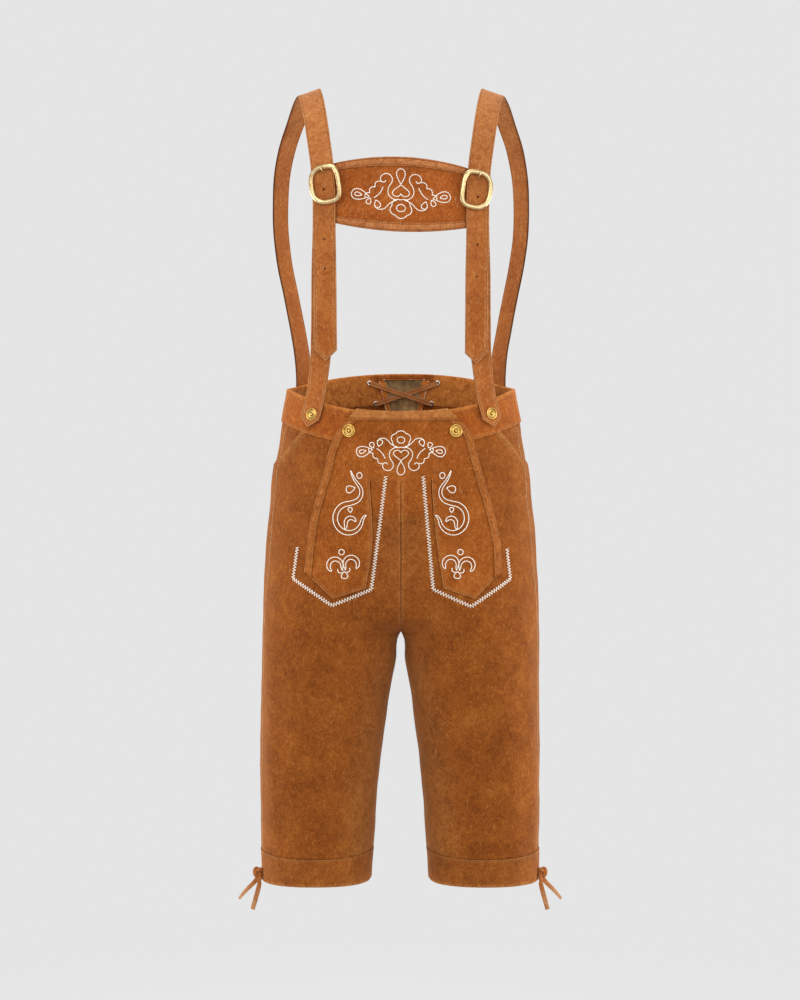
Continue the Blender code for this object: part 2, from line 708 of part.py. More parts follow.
def make_flap():
    """One piece that forks below into two pointed lobes, with its binding and side strips."""
    steps = FLAP_UPPER_ROWS + FLAP_LOBE_STEPS
    points, normals = flap_grid(steps)
    fork_row = len(FLAP_UPPER_ROWS) - 1
    lobe_columns = len(FLAP_SHARES) - 1
    middle_columns = range(lobe_columns, lobe_columns + len(FLAP_MIDDLE) + 1)
    make_wall(
        "front_flap", points, normals, BAND, 1, SUEDE_BROWN,
        keep=lambda row, column: row < fork_row or column not in middle_columns,
    )
    over_flap = BAND + LAY_GAP
    points, normals = flap_grid(FLAP_UPPER_ROWS[:3], over_flap)
    make_wall("flap_binding", points, normals, TRIM, 1, SUEDE_TRIM)
    points, normals = flap_grid((FLAP_UPPER_ROWS[2] - SEAM_GAP,) + steps[3:], over_flap)
    last = len(points[0])
    for side_name, first in (("right", 0), ("left", last - 2)):
        strip = [row[first:first + 2] for row in points]
        strip_normals = [row[first:first + 2] for row in normals]
        make_wall(f"flap_strip_{side_name}", strip, strip_normals, TRIM, 1, SUEDE_TRIM)


# ---------------------------------------------------------------- braces
def seat_point(x, height, face):
    """A strap's row where it lies on the waistband."""
    angle = angle_at(height, x)
    place, normal = surface_point(1, height, angle if face == "front" else -angle, SEAT_LIFT)
    return StrapPoint(*place, *normal)


def strap_route():
    seats = [seat_point(STRAP_SEAT_X, height, "back") for height in STRAP_SEAT_HEIGHTS]
    return list(SHOULDER_STRAP) + seats


def lower_strap_route():
    seats = [seat_point(seat.x, seat.height, "front") for seat in LOWER_STRAP_SEAT]
    return seats + list(LOWER_STRAP)


def make_straps():
    routes = {
        "shoulder_strap": (strap_route(), STRAP_WIDTH, STRAP_POINT),
        "lower_strap": (lower_strap_route(), LOWER_STRAP_WIDTH, LOWER_STRAP_POINT),
    }
    for name, (route, width, tip) in routes.items():
        for side_name, side in SIDES.items():
            path = route if side > 0 else mirrored(route)
            points, normals = ribbon_grid(path, STRAP_STEP, width, point_start=tip)
            make_wall(f"{name}_{side_name}", points, normals, STRAP_THICKNESS, 1, SUEDE_STRAP)


def chest_point(x, share, lift=0.0):
    """A point of the chest bar: x across, share from its top edge to its bottom edge."""
    fall = (x / CHEST_EDGE_X) ** 2
    top = CHEST_TOP - CHEST_TOP_FALL * fall
    bottom = CHEST_BOTTOM + CHEST_BOTTOM_RISE * fall
    height = top + (bottom - top) * share + CHEST_TILT * x
    depth = CHEST_FRONT + CHEST_ROUND * (abs(x) / CHEST_ROUND_X) ** CHEST_ROUND_POWER
    steepness = (abs(x) / CHEST_ROUND_X) ** (CHEST_ROUND_POWER - 1)
    slope = CHEST_ROUND * CHEST_ROUND_POWER / CHEST_ROUND_X * steepness
    normal = Vector((math.copysign(slope, x), -1.0, 0.0)).normalized()
    return Vector((x, depth, height)) + normal * lift, normal


def chest_grid(shares, half_width, lift=0.0):
    places = np.linspace(-half_width, half_width, CHEST_COLUMNS)
    rows = [[chest_point(x, share, lift) for x in places] for share in shares]
    points = [[point for point, _ in row] for row in rows]
    normals = [[normal for _, normal in row] for row in rows]
    return points, normals


def make_chest_bar():
    border = CHEST_BORDER / (CHEST_TOP - CHEST_BOTTOM)
    points, normals = chest_grid((0.0, border, *CHEST_MIDDLE_ROWS, 1 - border, 1.0), CHEST_HALF_WIDTH)
    make_wall("chest_bar", points, normals, SUEDE, -1, SUEDE_BROWN)
    for name, shares in (("chest_border_top", (0.0, border)), ("chest_border_bottom", (1 - border, 1.0))):
        points, normals = chest_grid(shares, CHEST_BORDER_REACH, CHEST_BORDER_LIFT)
        make_wall(name, points, normals, TRIM, 1, SUEDE_TRIM)


# ---------------------------------------------------------------- metal
def strap_station(height):
    """Where the front of the left shoulder strap is at a height: its inner face, and how it looks."""
    front = [row for row in SHOULDER_STRAP if row.y < STRAP_FRONT_Y]
    heights = np.array([row.z for row in front])
    values = {field: np.array([getattr(row, field) for row in front]) for field in StrapPoint._fields}
    read = {field: smooth_lookup(heights, values[field], height) for field in StrapPoint._fields}
    place = Vector((read["x"], read["y"], height))
    normal = Vector((read["face_x"], read["face_y"], 0.0)).normalized()
    return place, normal


def buckle_outline(side):
    """The frame's middle line: squarer towards the chest bar, rounder on the outer side."""
    points = []
    for index in range(BUCKLE_POINTS):
        angle = 2 * math.pi * index / BUCKLE_POINTS
        outward = math.cos(angle) > 0
        power = BUCKLE_OUTER_POWER if outward else BUCKLE_INNER_POWER
        x = BUCKLE_HALF_WIDTH * signed_power(math.cos(angle), power)
        y = BUCKLE_HALF_HEIGHT * signed_power(math.sin(angle), power)
        points.append(Vector((side * x, y, 0.0)))
    return points


def make_buckles():
    for side_name, side in SIDES.items():
        place, normal = strap_station(BUCKLE_HEIGHTS[side_name])
        over = STRAP_THICKNESS + BUCKLE_WIRE + BUCKLE_CLEARANCE
        place = place + normal * over
        place.x = side * (place.x - BUCKLE_SHIFT)
        normal.x *= side
        frame = frame_matrix(place, Vector((1.0, 0.0, 0.0)), normal)
        lean = Matrix.Rotation(-side * BUCKLE_LEAN, 4, "Z")
        outline = [frame @ lean @ point for point in buckle_outline(side)]
        make_wire(f"buckle_frame_{side_name}", outline, BUCKLE_WIRE, BRASS, closed=True, sides=2)
        crest = BUCKLE_HALF_HEIGHT
        prong = [
            Vector((0.0, crest - spot.below * BUCKLE_WIRE, spot.out * BUCKLE_WIRE))
            for spot in PRONG_ROUTE
        ]
        prong = [frame @ lean @ point for point in prong]
        make_wire(f"buckle_prong_{side_name}", prong, PRONG_RADIUS, BRASS)


def turned_mesh(name, radius):
    """The open profile of a button, which a Screw modifier turns round its axis."""
    mesh = bpy.data.meshes.new(name)
    points = [(ring.radius * radius, 0.0, ring.height * radius) for ring in BUTTON_PROFILE]
    edges = [(index, index + 1) for index in range(len(points) - 1)]
    mesh.from_pydata(points, edges, [])
    return mesh


def make_buttons():
    meshes = {}
    for button in BUTTONS:
        if button.radius not in meshes:
            meshes[button.radius] = turned_mesh(f"button_{len(meshes)}", button.radius)
        thing = add_object(button.name, meshes[button.radius].copy(), BRASS)
        place, normal = front_point(button.x, button.height, button.lift)
        thing.matrix_world = frame_matrix(place, Vector((1.0, 0.0, 0.0)), normal)
        screw = thing.modifiers.new("turn", "SCREW")
        screw.steps = BUTTON_STEPS
        screw.render_steps = BUTTON_STEPS
        screw.use_merge_vertices = True
        screw.merge_threshold = BUTTON_MERGE
        screw.use_normal_calculate = True


# ---------------------------------------------------------------- lacing at the back
def back_point(x, height, lift):
    side = 1 if x >= 0 else -1
    return surface_point(side, height, -angle_at(height, x), lift)


def lace_route(start, end, lift, bow=0.0):
    """A flat lace from one eyelet to another, stood off the surface at its middle by bow."""
    route = []
    for share in np.linspace(0.0, 1.0, LACE_STATIONS):
        x = start[0] + (end[0] - start[0]) * share
        height = start[1] + (end[1] - start[1]) * share
        place, normal = back_point(x, height, lift)
        ends = [back_point(x_end, height_end, lift)[0].y for x_end, height_end in (start, end)]
        chord = sum(ends) / 2
        if lift < 0:
            place.y = chord - bow * math.sin(math.pi * share)
            normal = Vector((0.0, 1.0, 0.0))
        route.append(StrapPoint(*place, *normal))
    return route


def make_laces():
    upper_x, lower_x = EYELET_XS
    upper, lower = EYELET_HEIGHTS
    inside = -(SUEDE + 2 * LAY_GAP + LACE_THICKNESS + 2 * EYELET_WIRE + LACE_STAND_OFF)
    outside = BAND + 2 * LAY_GAP
    routes = {
        "lace_cross_left": lace_route((upper_x, upper), (-lower_x, lower), inside, LACE_BOWS["left"]),
        "lace_cross_right": lace_route((-upper_x, upper), (lower_x, lower), inside, LACE_BOWS["right"]),
        "lace_bar_upper": lace_route((-upper_x, upper), (upper_x, upper), outside),
        "lace_bar_lower": lace_route((-lower_x, lower), (lower_x, lower), outside),
    }
    for name, route in routes.items():
        points, normals = ribbon_grid(route, LACE_STEP, LACE_WIDTH)
        make_wall(name, points, normals, LACE_THICKNESS, 1, SUEDE_STRAP)


def make_eyelets():
    lift = -(SUEDE + LAY_GAP + EYELET_WIRE)
    for row, (x, height) in enumerate(zip(EYELET_XS, EYELET_HEIGHTS)):
        for side_name, side in SIDES.items():
            place, normal = back_point(side * x, height, lift)
            frame = frame_matrix(place, Vector((1.0, 0.0, 0.0)), normal)
            ring = [
                frame @ Vector((EYELET_RADIUS * math.cos(turn), EYELET_RADIUS * math.sin(turn), 0.0))
                for turn in np.linspace(0.0, 2 * math.pi, EYELET_POINTS + 1)[:-1]
            ]
            name = f"eyelet_{'upper' if row == 0 else 'lower'}_{side_name}"
            make_wire(name, ring, EYELET_WIRE, NICKEL, closed=True, sides=1)


# ---------------------------------------------------------------- hem ties
def make_ties():
    for side_name, side in SIDES.items():
        stand_off = BAND + 2 * LAY_GAP + KNOT_SIZE.x / 2
        place, normal = surface_point(side, KNOT_HEIGHT, SIDE_SEAM_ANGLE, stand_off)
        bpy.ops.mesh.primitive_uv_sphere_add(segments=12, ring_count=8, radius=0.5)
        knot = bpy.context.active_object
        for owner in list(knot.users_collection):
            owner.objects.unlink(knot)
        collection.objects.link(knot)
        knot.name = f"tie_knot_{side_name}"
        knot.data.materials.append(SUEDE_STRAP)
        knot.data.shade_smooth()
        knot.matrix_world = Matrix.Translation(place) @ Matrix.Diagonal((*KNOT_SIZE, 1.0))
        for tail_name, tail in TIE_TAILS.items():
            route = [
                (place.x + side * spot.out, place.y - spot.forward, place.z - spot.down) for spot in tail
            ]
            points = [Vector(row) for row in resample(route, TAIL_STEP)]
            make_wire(f"tie_tail_{tail_name}_{side_name}", points, TIE_WIDTH / 2, SUEDE_STRAP)


make_panels()
make_hem_bands()
make_pocket_edges()
make_gusset()
make_flap()
make_straps()
make_chest_bar()
make_buckles()
make_buttons()
make_laces()
make_eyelets()
make_ties()
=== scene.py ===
# %% [markdown]
# # Knee-length suede breeches with braces
#
# The garment stands open as if it were worn: two legs sewn from four panels, a front flap with
# two pointed lobes, a laced gusset at the back, and braces joined by a chest bar.  The packed
# model is the fixed frame.  Each piece below is made at its real size on that frame and takes
# the place of its plain solid.

# %% Load the fixed frame
import math
from collections import namedtuple

import bpy
import numpy as np
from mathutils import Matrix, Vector


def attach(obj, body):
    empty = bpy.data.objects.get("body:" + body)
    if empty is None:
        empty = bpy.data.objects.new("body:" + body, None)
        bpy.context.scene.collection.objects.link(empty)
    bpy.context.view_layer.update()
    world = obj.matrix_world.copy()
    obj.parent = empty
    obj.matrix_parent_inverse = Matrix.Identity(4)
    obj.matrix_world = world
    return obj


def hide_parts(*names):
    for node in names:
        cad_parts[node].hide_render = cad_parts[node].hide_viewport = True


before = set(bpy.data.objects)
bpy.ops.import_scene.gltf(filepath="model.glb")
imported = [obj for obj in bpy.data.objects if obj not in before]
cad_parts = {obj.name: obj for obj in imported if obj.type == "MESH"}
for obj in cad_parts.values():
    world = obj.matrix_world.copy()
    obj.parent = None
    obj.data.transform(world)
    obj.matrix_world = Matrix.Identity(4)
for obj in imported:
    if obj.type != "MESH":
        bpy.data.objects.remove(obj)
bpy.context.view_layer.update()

# %% [markdown]
# ## Camera, floor and light
#
# A garment is shown best by a long lens held level with the chest, which keeps both legs
# straight.  The breeches hang from the shoulders, so the floor lies well below them and takes
# only a faint shadow.  It fades out into the pale surroundings, so no horizon shows.  Large soft
# lamps suit suede: small ones would make every fibre glint.

# %% Camera
VIEW_HEIGHT = 1.35
CAMERA_DISTANCE = 3.50
CAMERA_HEIGHT = -0.4480
CAMERA_SIDE = -0.0012
TARGET_DROP = 0.1026
SENSOR_WIDTH = 36.0


def into_scene(name, data):
    """A new object at the origin, with the mesh, lamp or camera that it is given."""
    thing = bpy.data.objects.new(name, data)
    bpy.context.scene.collection.objects.link(thing)
    return thing


def aim(thing, target):
    """Turns a camera or a lamp so that it looks at a point."""
    thing.rotation_euler = (Vector(target) - thing.location).to_track_quat("-Z", "Y").to_euler()


camera_data = bpy.data.cameras.new("camera")
camera_data.sensor_width = SENSOR_WIDTH
camera_data.lens = SENSOR_WIDTH * CAMERA_DISTANCE / VIEW_HEIGHT
camera = into_scene("camera", camera_data)
camera.location = (CAMERA_SIDE, -CAMERA_DISTANCE, CAMERA_HEIGHT)
aim(camera, (CAMERA_SIDE, 0.0, CAMERA_HEIGHT - TARGET_DROP))
bpy.context.scene.camera = camera
print("lens, mm:", round(camera_data.lens, 2))


# %% A helper that adds one node, and one that reads sRGB colours
def add_node(tree, kind, inputs=None, stops=(), **settings):
    """Adds a node.  An input gets a value, an output socket, or a node, of which it takes the first output.

    A colour ramp also gets its stops, each a place from 0 to 1 and a colour."""
    node = tree.nodes.new(kind)
    for name, value in settings.items():
        setattr(node, name, value)
    for socket, value in (inputs or {}).items():
        if isinstance(value, bpy.types.Node):
            value = value.outputs[0]
        if isinstance(value, bpy.types.NodeSocket):
            tree.links.new(value, node.inputs[socket])
        else:
            node.inputs[socket].default_value = value
    while stops and len(node.color_ramp.elements) < len(stops):
        node.color_ramp.elements.new(0.5)
    for number, (position, hex_colour) in enumerate(stops):
        node.color_ramp.elements[number].position = position
        node.color_ramp.elements[number].color = linear(hex_colour)
    return node


def linear(hex_colour):
    """The linear colour of an sRGB hex value, with its alpha of 1."""
    shares = [int(hex_colour[start:start + 2], 16) / 255 for start in (1, 3, 5)]
    linears = [share / 12.92 if share <= 0.04045 else ((share + 0.055) / 1.055) ** 2.4 for share in shares]
    return (*linears, 1.0)


def blank_material(name):
    """A material and its node tree, with nothing in it yet."""
    material = bpy.data.materials.new(name)
    material.use_nodes = True
    material.node_tree.nodes.clear()
    return material, material.node_tree


print("a middle grey, linear:", round(linear("#808080")[0], 3))

# %% Surroundings and lamps
BACKGROUND = "#E5E5E5"
AMBIENT = 0.70
LAMP_TARGET = (0.0, 0.0, -0.55)
Lamp = namedtuple("Lamp", "name place size power colour")
LAMPS = (
    Lamp("key", (-1.3, -3.0, 1.1), 1.7, 37.0, "#FFF9F2"),
    Lamp("fill", (1.7, -2.7, 0.2), 2.0, 24.0, "#FFFAF5"),
    Lamp("top", (0.0, -0.2, 2.0), 1.6, 22.0, "#FFFFFF"),
    Lamp("left_edge", (-2.4, 0.3, -0.9), 1.2, 34.0, "#FFFFFF"),
    Lamp("right_edge", (2.4, 0.3, -0.9), 1.2, 38.0, "#FFFFFF"),
    Lamp("behind", (0.0, 3.0, 0.4), 2.0, 30.0, "#FFFFFF"),
)

world = bpy.data.worlds.new("pale_surroundings")
world.use_nodes = True
bpy.context.scene.world = world
tree = world.node_tree
tree.nodes.clear()
seen = add_node(tree, "ShaderNodeBackground", {"Color": linear(BACKGROUND), "Strength": 1.0})
lighting = add_node(tree, "ShaderNodeBackground", {"Color": linear("#FFFFFF"), "Strength": AMBIENT})
ray = add_node(tree, "ShaderNodeLightPath")
choice = add_node(tree, "ShaderNodeMixShader", {0: ray.outputs["Is Camera Ray"], 1: lighting, 2: seen})
add_node(tree, "ShaderNodeOutputWorld", {"Surface": choice})

for lamp in LAMPS:
    light = bpy.data.lights.new(lamp.name, "AREA")
    light.size = lamp.size
    light.energy = lamp.power
    light.color = linear(lamp.colour)[:3]
    thing = into_scene(lamp.name, light)
    thing.location = lamp.place
    aim(thing, LAMP_TARGET)
bpy.context.scene.view_settings.view_transform = "Standard"
print("lamps:", len(LAMPS))

# %% Floor
FLOOR_HEIGHT = -1.4500
FLOOR_RADIUS = 2.4
FLOOR_SOLID = 0.5
FLOOR_CLEAR = 1.5
FLOOR_THIN = 0.35
FLOOR_PAINT = "#CFCFCF"

material, tree = blank_material("matt_painted_floor")
place = add_node(tree, "ShaderNodeTexCoord").outputs["Object"]
flat = add_node(tree, "ShaderNodeVectorMath", {0: place, 1: (1.0, 1.0, 0.0)}, operation="MULTIPLY")
away = add_node(tree, "ShaderNodeVectorMath", {0: flat}, operation="LENGTH")
fade = add_node(tree, "ShaderNodeMapRange", {
    "Value": away.outputs["Value"], "From Min": FLOOR_SOLID, "From Max": FLOOR_CLEAR, "To Min": FLOOR_THIN,
}, interpolation_type="SMOOTHSTEP")
paint = add_node(tree, "ShaderNodeBsdfPrincipled", {"Base Color": linear(FLOOR_PAINT), "Roughness": 0.95})
clear = add_node(tree, "ShaderNodeBsdfTransparent")
mixed = add_node(tree, "ShaderNodeMixShader", {0: fade, 1: paint, 2: clear})
add_node(tree, "ShaderNodeOutputMaterial", {"Surface": mixed})


def full_turn(count):
    """Even angles once round, without the last, which would be the first again."""
    return np.linspace(0.0, 2 * math.pi, count, endpoint=False)


rim = [(FLOOR_RADIUS * math.cos(turn), FLOOR_RADIUS * math.sin(turn), FLOOR_HEIGHT) for turn in full_turn(64)]
floor_mesh = bpy.data.meshes.new("floor")
floor_mesh.from_pydata(rim, [], [list(range(len(rim)))])
floor_mesh.materials.append(material)
into_scene("floor", floor_mesh)

# %% [markdown]
# ## Finishes
#
# Suede is the flesh side of a split hide, buffed until its fibres stand up as a nap.  It has no
# gloss.  Its colour shifts in patches where the nap lies one way or another, fine paler fibres
# speckle it, and it turns lighter where it is seen edge on, which a sheen layer gives.  Worn
# ridges and cut edges are paler too, so each piece carries a value at its points that makes the
# leather paler where it is worn.  The same value also paints light onto some places that lie in
# shade.  Below nought it paints shade into the grooves of seams and onto the rims of cut edges,
# which are partly darker as cut leather.


# %% Napped suede
NAP_DEPTH = 0.00036
TONE_PLACES = (0.34, 0.46, 0.56, 0.68)


def per_mm(size):
    """The scale of a noise whose grains are about this many millimetres across."""
    return 1000.0 / size


def napped_suede(name, tones, pale, dark, sheen_tint):
    """Buffed split hide, dyed through: patches 45 mm wide, brush marks 9 mm, fibres 1.7 mm."""
    material, tree = blank_material(name)
    place = add_node(tree, "ShaderNodeTexCoord").outputs["Object"]
    patches = add_node(tree, "ShaderNodeTexNoise", {
        "Vector": place, "Scale": per_mm(45), "Detail": 3.0, "Roughness": 0.6, "Distortion": 0.6,
    })
    brushed = add_node(tree, "ShaderNodeTexNoise", {
        "Vector": place, "Scale": per_mm(9), "Detail": 4.0, "Roughness": 0.62, "Distortion": 1.4,
    })
    # Real fibres are a tenth of this size; they are drawn as coarse as it takes to see them.
    fibres = add_node(tree, "ShaderNodeTexNoise", {
        "Vector": place, "Scale": per_mm(1.7), "Detail": 2.0, "Roughness": 0.7,
    })
    slow = add_node(tree, "ShaderNodeMath", {0: patches, 1: 0.44, 2: -0.23}, operation="MULTIPLY_ADD")
    middle = add_node(tree, "ShaderNodeMath", {0: brushed, 1: 0.46, 2: slow}, operation="MULTIPLY_ADD")
    tone = add_node(tree, "ShaderNodeMath", {0: fibres, 1: 0.56, 2: middle}, operation="MULTIPLY_ADD")
    body = add_node(tree, "ShaderNodeValToRGB", {"Fac": tone}, tones)
    # Fibres that were brushed up lie in short upright strokes and catch the light.
    drawn = add_node(tree, "ShaderNodeVectorMath", {0: place, 1: (1.0, 1.0, 0.32)}, operation="MULTIPLY")
    strokes = add_node(tree, "ShaderNodeTexNoise", {
        "Vector": drawn, "Scale": per_mm(2.4), "Detail": 3.0, "Roughness": 0.75, "Distortion": 0.5,
    })
    raised = add_node(tree, "ShaderNodeMapRange", {
        "Value": strokes, "From Min": 0.56, "From Max": 0.76, "To Max": 0.55,
    })
    fibrous = add_node(tree, "ShaderNodeMix", {
        "Factor": raised, 6: body, 7: linear(pale),
    }, data_type="RGBA")
    wear = add_node(tree, "ShaderNodeAttribute", attribute_name="wear").outputs["Fac"]
    patchy = add_node(tree, "ShaderNodeMapRange", {"Value": brushed, "From Min": 0.24, "From Max": 0.74})
    worn_and_painted_light = add_node(tree, "ShaderNodeMath", {0: wear, 1: patchy}, operation="MULTIPLY")
    # Mixed towards the pale colour where the leather is worn, and where light is painted onto places in
    # shade.
    dyed = add_node(tree, "ShaderNodeMix", {
        "Factor": worn_and_painted_light, 6: fibrous.outputs["Result"], 7: linear(pale),
    }, data_type="RGBA")
    # Where the value is below zero, painted shade darkens the grooves of seams; on the rims of cut edges the
    # darkening is partly the cut leather's own colour and partly painted shade.
    pressed = add_node(tree, "ShaderNodeMath", {0: wear, 1: -0.85}, operation="MULTIPLY")
    seamed = add_node(tree, "ShaderNodeMix", {
        "Factor": pressed, 6: dyed.outputs["Result"], 7: linear(dark),
    }, data_type="RGBA")
    relief = add_node(tree, "ShaderNodeMath", {0: brushed, 1: 0.9, 2: fibres}, operation="MULTIPLY_ADD")
    nap = add_node(tree, "ShaderNodeBump", {"Height": relief, "Strength": 1.0, "Distance": NAP_DEPTH})
    shader = add_node(tree, "ShaderNodeBsdfPrincipled", {
        "Base Color": seamed.outputs["Result"], "Roughness": 0.93, "Specular IOR Level": 0.18,
        "Sheen Weight": 0.36, "Sheen Roughness": 0.45, "Sheen Tint": linear(sheen_tint), "Normal": nap,
    })
    add_node(tree, "ShaderNodeOutputMaterial", {"Surface": shader})
    return material


# Four tones of the dye, then its worn colour, which also serves as painted light, the colour that paints
# shade into seam grooves and onto cut edges, and the tint of its sheen.
SUEDE_COLOURS = {
    "leg": ("#6B340A", "#814311", "#8C4B14", "#A26026", "#BC8045", "#3C1B08", "#E2A46E"),
    "flap": ("#76390D", "#8C4913", "#995219", "#B0682D", "#C88C52", "#42200B", "#E2A670"),
    "chest": ("#7E3D12", "#974D18", "#A45720", "#BA6E35", "#D29A68", "#42200B", "#E6B083"),
    "turned_edge": ("#7B390B", "#904714", "#9D5118", "#B26428", "#D68D45", "#42200B", "#E6AC76"),
    "strap": ("#834317", "#99531F", "#A35C25", "#B57037", "#D6A26E", "#4A240C", "#ECBC90"),
    "lace": ("#844A1F", "#9A5B2A", "#A66533", "#BC7B49", "#BC946E", "#4A240C", "#ECBC90"),
}
leg_suede, flap_suede, chest_suede, trim_suede, strap_suede, tie_suede = (
    napped_suede(f"napped_suede_{use}", list(zip(TONE_PLACES, colours)), *colours[4:])
    for use, colours in SUEDE_COLOURS.items()
)
print("suedes:", list(SUEDE_COLOURS))

# %% [markdown]
# Cotton embroidery thread is twisted from soft white plies, so it is matt with a silky edge.
# Topstitching thread is waxed polyester in a shade of the suede.  The twist follows the
# stitch's own UV map, because every stitch points another way.


# %% Threads
def twisted_thread(name, dark, pale, roughness, sheen):
    """Two plies twisted together: the stripe runs round the stitch as it goes along."""
    material, tree = blank_material(name)
    strand = add_node(tree, "ShaderNodeUVMap", uv_map="strand")
    twist = add_node(tree, "ShaderNodeTexWave", {
        "Vector": strand, "Scale": 1.6, "Distortion": 0.6, "Detail": 1.0,
    }, bands_direction="DIAGONAL").outputs["Fac"]
    shade = add_node(tree, "ShaderNodeValToRGB", {"Fac": twist}, ((0.1, dark), (0.6, pale)))
    plies = add_node(tree, "ShaderNodeBump", {"Height": twist, "Strength": 0.35, "Distance": 0.0002})
    shader = add_node(tree, "ShaderNodeBsdfPrincipled", {
        "Base Color": shade, "Roughness": roughness, "Sheen Weight": sheen, "Normal": plies,
    })
    add_node(tree, "ShaderNodeOutputMaterial", {"Surface": shader})
    return material


white_cotton = twisted_thread("twisted_cotton_white", "#FBEEDB", "#FFFAF0", 0.70, 0.30)
tan_thread = twisted_thread("waxed_thread_tan", "#905621", "#B57A40", 0.6, 0.1)
pale_thread = twisted_thread("waxed_thread_pale", "#CC9F72", "#E8CCA8", 0.6, 0.1)
print("threads:", white_cotton.name, tan_thread.name, pale_thread.name)

# %% [markdown]
# The buckles and buttons are pressed and cast brass, polished and lacquered.  Handling leaves
# faint smudges, which change the gloss more than the colour.  The eyelets are nickel-plated.


# %% Brass and nickel
RECESS_PATINA = "#6A3E10"


def polished_metal(name, dark, pale, roughness, smudge):
    """A lacquered metal: bright, with gloss that varies over a few millimetres, and dark recesses."""
    material, tree = blank_material(name)
    place = add_node(tree, "ShaderNodeTexCoord").outputs["Object"]
    film = add_node(tree, "ShaderNodeTexNoise", {"Vector": place, "Scale": per_mm(5), "Detail": 3.0})
    colour = add_node(tree, "ShaderNodeValToRGB", {"Fac": film}, ((0.3, dark), (0.7, pale)))
    depth = add_node(tree, "ShaderNodeAttribute", attribute_name="wear").outputs["Fac"]
    patina = add_node(tree, "ShaderNodeMix", {
        "Factor": depth, 6: colour, 7: linear(RECESS_PATINA),
    }, data_type="RGBA").outputs["Result"]
    gloss = add_node(tree, "ShaderNodeMapRange", {
        "Value": film, "From Min": 0.3, "From Max": 0.7, "To Min": roughness, "To Max": roughness + smudge,
    })
    shader = add_node(tree, "ShaderNodeBsdfPrincipled", {
        "Base Color": patina, "Metallic": 1.0, "Roughness": gloss,
    })
    add_node(tree, "ShaderNodeOutputMaterial", {"Surface": shader})
    return material


pale_brass = polished_metal("lacquered_brass_pale", "#C6A876", "#DEC799", 0.25, 0.04)
button_brass = polished_metal("pressed_brass_yellow", "#D8AC50", "#F0CC7C", 0.33, 0.08)
nickel = polished_metal("nickel_plate", "#C9C8C4", "#E4E3E0", 0.18, 0.10)
print("metals:", [metal.name for metal in (pale_brass, button_brass, nickel)])

# %% [markdown]
# The gusset is olive lining cloth.  A plain weave is a grid of threads that go over and under
# each other; two crossed waves on the cloth's own UV map, which is in metres, draw it.

# %% Olive lining cloth
WEAVE_MM = 1.1
WAVE_RATE = 2 * math.pi / 20
LINING_TONES = ((0.35, "#7A6040"), (0.60, "#A48256"), (0.85, "#C4A070"))

lining_cloth, tree = blank_material("plain_woven_olive_lining")
cloth = add_node(tree, "ShaderNodeUVMap", uv_map="cloth")
# A wave of scale 1 repeats after 2 pi / 20 units, so with this rate it repeats after WEAVE_MM.
warp, weft = (add_node(tree, "ShaderNodeTexWave", {
    "Vector": cloth, "Scale": WAVE_RATE * per_mm(WEAVE_MM), "Distortion": 0.4,
}, bands_direction=way).outputs["Fac"] for way in "XY")
weave = add_node(tree, "ShaderNodeMath", {0: warp, 1: weft}, operation="MULTIPLY")
place = add_node(tree, "ShaderNodeTexCoord").outputs["Object"]
faded = add_node(tree, "ShaderNodeTexNoise", {"Vector": place, "Scale": per_mm(14), "Detail": 3.0})
tone = add_node(tree, "ShaderNodeMath", {0: weave, 1: 0.35, 2: faded}, operation="MULTIPLY_ADD")
colour = add_node(tree, "ShaderNodeValToRGB", {"Fac": tone}, LINING_TONES)
threads = add_node(tree, "ShaderNodeBump", {"Height": weave, "Strength": 0.7, "Distance": 0.0003})
# The value at the points is above nought on the suede scraps at the sides, and below it where painted shade
# darkens the cloth.
scraps_and_painted_shade = add_node(tree, "ShaderNodeAttribute", attribute_name="wear").outputs["Fac"]
pieced = add_node(tree, "ShaderNodeMix", {
    "Factor": scraps_and_painted_shade, 6: colour, 7: linear("#C2702E"),
}, data_type="RGBA").outputs["Result"]
depth = add_node(tree, "ShaderNodeMath", {0: scraps_and_painted_shade, 1: -1.0}, operation="MULTIPLY")
dusky = add_node(tree, "ShaderNodeMix", {
    "Factor": depth, 6: pieced, 7: linear("#453A28"),
}, data_type="RGBA").outputs["Result"]
shader = add_node(tree, "ShaderNodeBsdfPrincipled", {
    "Base Color": dusky, "Roughness": 0.95, "Specular IOR Level": 0.2, "Sheen Weight": 0.1, "Normal": threads,
})
add_node(tree, "ShaderNodeOutputMaterial", {"Surface": shader})
print("cloth:", lining_cloth.name)

# %% [markdown]
# ## The body's surface
#
# A trouser leg filled out is close to a tube whose rings are rounded rectangles.  Each row of
# the table gives one ring: how far out and in it reaches and how deep it is in front and
# behind.  Above the crotch the ring runs past the middle of the body, which cuts it, so one
# table makes legs, hips and waist.  Whatever lies on a panel asks this surface where it is.

